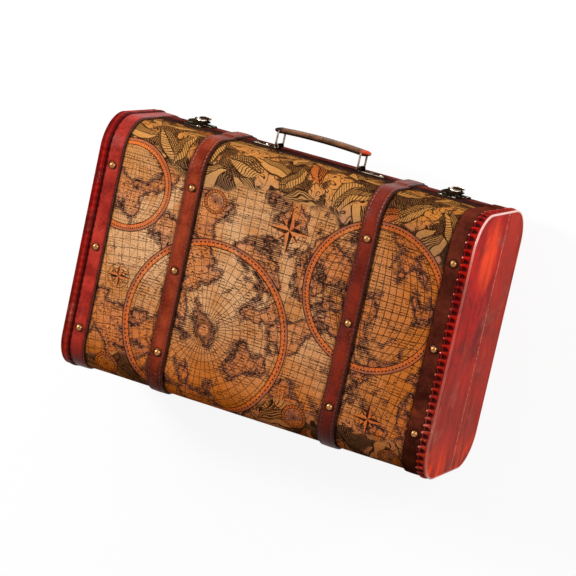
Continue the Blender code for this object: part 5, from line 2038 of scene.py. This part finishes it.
        # The mark brightens the lever's raised rim and its head: a painted highlight.
        edge = np.clip(spoon ** 2 + before, 0, 1)
        piece = Piece(f"latch_lever_{self.side.name}")
        piece.loft(self.shifted(np.concatenate([top, under[:, ::-1]], axis=1)),
                   mark=np.concatenate([edge, edge[:, ::-1]], axis=1))
        turn = np.linspace(0, math.pi, 25)
        roll = spread(self.lever_half_width * np.cos(turn), self.pin_z + self.roll_reach * np.sin(turn),
                      self.pin_height + self.roll_lift - self.roll_smile * np.sin(turn))
        radius = self.roll_radius * (0.25 + 0.75 * np.sin(turn) ** 0.7)
        # The half ring over the head is marked fully bright: a painted highlight on the lip.
        piece.loft(swept(self.shifted(roll), radius[:, None, None], False), mark=1.0)
        for below, height in ((0.0, self.pin_height), (self.bail_from_pin, self.bail_height)):
            piece.loft(self.rod(self.lever_half_width, self.pin_z - below, height, self.knuckle), mark=0.1)
        piece.finish(LEVER_BRASS, f"lever_{self.side.name}", "antique_brass")

    def bail(self) -> None:
        """A wire bail whose ends turn into the lever."""
        peg, wide = self.lever_half_width - self.bail_in_lever, self.bail_half_width
        low, high = self.pin_z - self.bail_from_pin, self.seam + self.bar_from_seam
        path = rounded_path([(-peg, low), (-wide, low), (-wide, high), (wide, high), (wide, low), (peg, low)],
                            self.bail_corner, False, 6)
        rings = swept(self.shifted(spread(path[:, 0], path[:, 1], self.bail_height)), self.pin_radius, False)
        piece = Piece(f"latch_bail_{self.side.name}").loft(rings, mark=0.25)
        piece.finish(BRASS, f"bail_{self.side.name}", "antique_brass")

    def keeper(self) -> None:
        """A plate with a hook: a shelf out of the plate whose lip turns up in front of the bail's bar."""
        width, tall, thick = self.keeper_size
        low = self.seam + self.edge_from_seam
        rings, mark = plate_rings(rounded_box(width, low, low + tall, self.keeper_corner), thick,
                                  self.keeper_bevel)
        piece = Piece(f"latch_keeper_{self.side.name}").loft(self.shifted(rings), mark=mark)
        rest = self.seam + self.bar_from_seam
        shelf_top = rest - self.pin_radius - self.hook_gap
        shelf = shelf_top - self.hook_thickness
        lip = self.bail_height + self.pin_radius + self.hook_gap
        section = ring_of((shelf, thick * 0.5), (shelf, lip - 0.0002),
                          arc((shelf + self.hook_round, lip + 0.0001), self.hook_round, 180, 90, 6),
                          arc((rest + 0.0002, lip + 0.0006), self.hook_tip, 90, 0, 5),
                          (rest + 0.0006, lip + 0.0002), (rest + 0.0003, lip), (shelf_top, lip),
                          (shelf_top, thick * 0.5))
        wide = self.hook_half_width
        piece.loft(self.shifted(bar(section, (-wide, wide), wide * 0.04, 0.0)), mark=0.3)
        from_middle, from_top = self.keeper_screw
        Screws().pair(piece, self.mount, self.middle_x, from_middle, low + tall - from_top, thick)
        piece.finish(BRASS, "lid", "antique_brass")


@dataclass
class Hinge:
    """A butt hinge: two leaves with knuckles in turn, and a pin."""

    mount: Mount
    side: Side
    seam: float
    middle_x: float
    length: float = 0.036
    leaf_width: float = 0.015
    leaf_corner: float = 0.0014
    leaf_bevel: float = 0.0003
    thickness: float = 0.0012
    barrel: float = 0.0026
    knuckles: int = 5
    knuckle_bevel: float = 0.0002
    gap: float = 0.0003
    screw_spacing: float = 0.024
    screw_from_axis: float = 0.0098
    pin_radius: float = 0.0012
    pin_tip: float = 0.0005
    pin_round: float = 0.0002

    def build(self) -> None:
        """Both leaves and the pin."""
        for name, up, first in (("base", -1.0, 0), ("lid", 1.0, 1)):
            self.leaf(name, up, first)
        self.pin()

    def leaf(self, name: str, up: float, first: int) -> None:
        """A flat leaf and every other knuckle: a roll with a tail that runs into the leaf.

        Args:
            name: body that the leaf is screwed to.
            up: 1 where it stands over the seam, -1 where it hangs under it.
            first: its first knuckle.
        """
        corners = rounded_box(self.length, self.barrel + self.gap, self.leaf_width, self.leaf_corner, 4)
        outline = spread(corners[:, 0], self.seam + up * corners[:, 1])
        rings, mark = plate_rings(outline, self.thickness, self.leaf_bevel)
        shift = np.array([self.middle_x, 0.0, 0.0])
        piece = Piece(f"{name}_hinge_leaf_{self.side.name}").loft(self.mount.place(rings + shift), mark=mark)
        tail = self.barrel + self.gap + self.thickness
        roll = arc((0.0, self.barrel), self.barrel, -30, 270, 22)
        section = ring_of(roll, (tail, 0.0), (tail, self.thickness))
        pitch = self.length / self.knuckles
        last = self.knuckles - 1
        for knuckle in range(first, self.knuckles, 2):
            start = -self.length / 2 + knuckle * pitch + (self.gap / 2 if knuckle else 0)
            end = -self.length / 2 + (knuckle + 1) * pitch - (self.gap / 2 if knuckle < last else 0)
            body = bar(section, (start, end), self.knuckle_bevel, self.knuckle_bevel)
            body = spread(self.middle_x + body[..., 0], self.seam + up * body[..., 1], body[..., 2])
            piece.loft(self.mount.place(body), mark=0.4)
        Screws().pair(piece, self.mount, self.middle_x, self.screw_spacing / 2,
                      self.seam + up * self.screw_from_axis, self.thickness)
        piece.finish(BRASS, name, "antique_brass")

    def pin(self) -> None:
        """The pin, rounded off at each end of the barrel."""
        rings = rod(self.length / 2, (self.pin_tip, 0.0), (self.pin_radius * 0.9, self.pin_round),
                    (self.pin_radius, self.pin_tip))
        local = spread(self.middle_x + rings[..., 2], self.seam + rings[..., 0], self.barrel + rings[..., 1])
        piece = Piece(f"hinge_pin_{self.side.name}").loft(self.mount.place(local))
        piece.finish(BRASS, "base", "antique_brass")


# Stage

@dataclass
class Softbox:
    """A large soft lamp: the direction that it lies in, its distance, size and power."""

    name: str
    towards: tuple[float, float, float]
    distance: float
    size: Pair
    power: float

    def build(self, aim: Array) -> None:
        """An area lamp that faces the aim."""
        lamp = bpy.data.lights.new(self.name, "AREA")
        lamp.shape = "RECTANGLE"
        lamp.size, lamp.size_y = self.size
        lamp.energy = self.power
        made = bpy.data.objects.new(self.name, lamp)
        bpy.context.scene.collection.objects.link(made)
        way = unit(np.array(self.towards))
        made.location = aim + way * self.distance
        made.rotation_mode = "QUATERNION"
        made.rotation_quaternion = Vector(way).to_track_quat("Z", "Y")


@dataclass
class Stage:
    """Floor, sky, lamps and camera."""

    azimuth: float = -63.127
    elevation: float = 65.471
    roll: float = 102.372
    distance: float = 2.931
    lens: float = 166.11
    sensor: float = 36.0
    aim: tuple[float, float, float] = (0.00104, 0.01082, 0.075)
    floor_half: float = 3.0
    floor_glow: float = 0.90
    floor_light: Colour = (0.9, 0.9, 0.9)
    floor_dark: Colour = (0.86, 0.86, 0.86)
    sky: float = 0.32
    lamps: tuple[Softbox, ...] = (
        Softbox("key", (0.72, -0.34, 0.60), 1.7, (0.42, 0.42), 31.0),
        Softbox("end_fill", (-0.86, -0.46, 0.42), 1.6, (0.8, 0.5), 15.0),
        Softbox("handle_rim", (0.30, -0.95, 0.30), 1.6, (0.9, 0.4), 5.0),
    )

    def build(self) -> None:
        """The whole stage."""
        self.camera()
        self.floor()
        self.world()
        for lamp in self.lamps:
            lamp.build(np.array(self.aim))
        bpy.context.scene.view_settings.view_transform = "Standard"

    def camera(self) -> None:
        """A camera on a sphere about the aim, rolled about its own axis."""
        azimuth, elevation, roll = np.radians((self.azimuth, self.elevation, self.roll))
        forward = np.array([-math.sin(azimuth) * math.cos(elevation), math.cos(azimuth) * math.cos(elevation),
                            -math.sin(elevation)])
        level = unit(np.cross(forward, (0.0, 0.0, 1.0)))
        up = math.cos(roll) * np.cross(level, forward) + math.sin(roll) * level
        right = np.cross(forward, up)
        lens = bpy.data.cameras.new("camera")
        lens.lens = self.lens
        lens.sensor_width = self.sensor
        lens.clip_end = 4 * self.floor_half
        made = bpy.data.objects.new("camera", lens)
        bpy.context.scene.collection.objects.link(made)
        turn = Matrix(np.column_stack([right, up, -forward]).tolist()).to_4x4()
        made.matrix_world = Matrix.Translation(np.array(self.aim) - forward * self.distance) @ turn
        bpy.context.scene.camera = made

    def floor(self) -> None:
        """A pale floor, mostly white by itself to the camera and to reflections, that keeps a soft shadow."""
        half = self.floor_half
        mesh = bpy.data.meshes.new("floor")
        mesh.from_pydata([(-half, -half, 0), (half, -half, 0), (half, half, 0), (-half, half, 0)], [],
                         [(0, 1, 2, 3)])
        made = bpy.data.objects.new("floor", mesh)
        bpy.context.scene.collection.objects.link(made)
        finish = bpy.data.materials.new("floor_paper")
        finish.use_nodes = True
        finish.node_tree.nodes.clear()
        graph = Graph(finish.node_tree)
        fibre = graph.object_place().noise(900.0, 3.0) * 0.5
        paper = graph.mix(fibre, self.floor_dark, self.floor_light)
        matte = graph.value("ShaderNodeBsdfDiffuse", {"Color": paper})
        glow = graph.value("ShaderNodeEmission", {"Color": WHITE, "Strength": 1.0})
        mixed = graph.value("ShaderNodeMixShader", {0: graph.seen() * self.floor_glow, 1: matte, 2: glow})
        graph.node("ShaderNodeOutputMaterial", {0: mixed})
        mesh.materials.append(finish)
        made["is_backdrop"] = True

    def world(self) -> None:
        """A soft even sky, white where it is seen."""
        world = bpy.data.worlds.new("studio")
        bpy.context.scene.world = world
        world.use_nodes = True
        graph = Graph(world.node_tree)
        shader = world.node_tree.nodes["Background"]
        graph.feed(shader.inputs["Color"], WHITE)
        graph.feed(shader.inputs["Strength"], graph.seen() * (1.0 - self.sky) + self.sky)


# The whole case

@dataclass
class TravelCase:
    """The case, half by half, with its metalwork."""

    base: Half
    lid: Half
    strap_thickness: float = 0.0022
    band_thickness: float = 0.0019
    calm: dict[Side, float] = field(default_factory=lambda: {Side.left: 0.0, Side.right: 1.0})

    @staticmethod
    def nail_places(half: Half, column: str, side: Side) -> tuple[Pair, ...]:
        """Places of a column's nails on a half's broad face, as x and stop; none on the base."""
        if half.name == "base":
            return ()
        middles = [middle_of(f"{column}_nail_{side.name}_{row}") for row in NAIL_ROWS]
        return tuple((x, half.stop_at(y)) for x, y in middles)

    def leather(self) -> None:
        """Covers, rims, straps, bands, end covers and linings of both halves."""
        for half, finish in ((self.base, PRINT_BASE), (self.lid, PRINT_LID)):
            Covers(half).build(finish)
            Lining(half).build(CLOTH)
            for face in ("front", "back"):
                RimBand(half, face).build(RIM_RED if half is self.base else RIM_DARK)
            for side in Side:
                self.strap(half, side)
                self.band(half, side)
                EndCover(half, side, calm=self.calm[side]).build(END_LEATHER)

    def strap(self, half: Half, side: Side) -> None:
        """One stitched strap."""
        strap = Strap(half, f"{half.name}_strap_{side.name}", self.strap_thickness,
                      dents=self.nail_places(half, "strap", side))
        strap.build(STRAP_DEEP if side is Side.left else STRAP_LEATHER, "strap_leather")
        strap.stitching(STITCH_THREAD)

    def band(self, half: Half, side: Side) -> None:
        """One end band; the left end's is darker."""
        band = Strip(half, f"{half.name}_band_{side.name}", self.band_thickness,
                     dents=self.nail_places(half, "band", side))
        band.build(BAND_DARK if side is Side.left else BAND_RED, "band_leather")

    def metal(self) -> None:
        """Nails, handle, latches and hinges."""
        seam = (self.base.seam + self.lid.seam) / 2
        front = Mount(max(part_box(f"latch_plate_{side.name}")[1].y for side in Side), -1.0)
        back = Mount(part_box("lid_hinge_leaf_left")[0].y, 1.0)
        for side in Side:
            for column in ("strap", "band"):
                for row in NAIL_ROWS:
                    Nail().build(f"{column}_nail_{side.name}_{row}", NAIL_BRASS)
            Latch(front, side, seam, middle_of(f"latch_plate_{side.name}")[0]).build()
            Hinge(back, side, seam, middle_of(f"lid_hinge_leaf_{side.name}")[0]).build()
        Handle(front).build()

    @staticmethod
    def wood(nodes: dict[str, bpy.types.Object]) -> None:
        """Dresses the wooden shells and boards, which stay as they are packed."""
        for name, node in nodes.items():
            if name.endswith("_shell") or "_end_board_" in name:
                node.data.materials.clear()
                node.data.materials.append(WOOD.material())


def main() -> None:
    """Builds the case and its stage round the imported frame."""
    logging.basicConfig(level=logging.INFO, format="%(message)s")
    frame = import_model()
    cad_box = [list(corner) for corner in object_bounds()]
    case = TravelCase(Half.measured("base", -1.0), Half.measured("lid", 1.0))
    case.leather()
    case.metal()
    case.wood(frame["nodes"])
    Stage().build()
    bpy.context.view_layer.update()
    visual_box = [list(corner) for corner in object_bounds()]


if __name__ == "__main__":
    main()
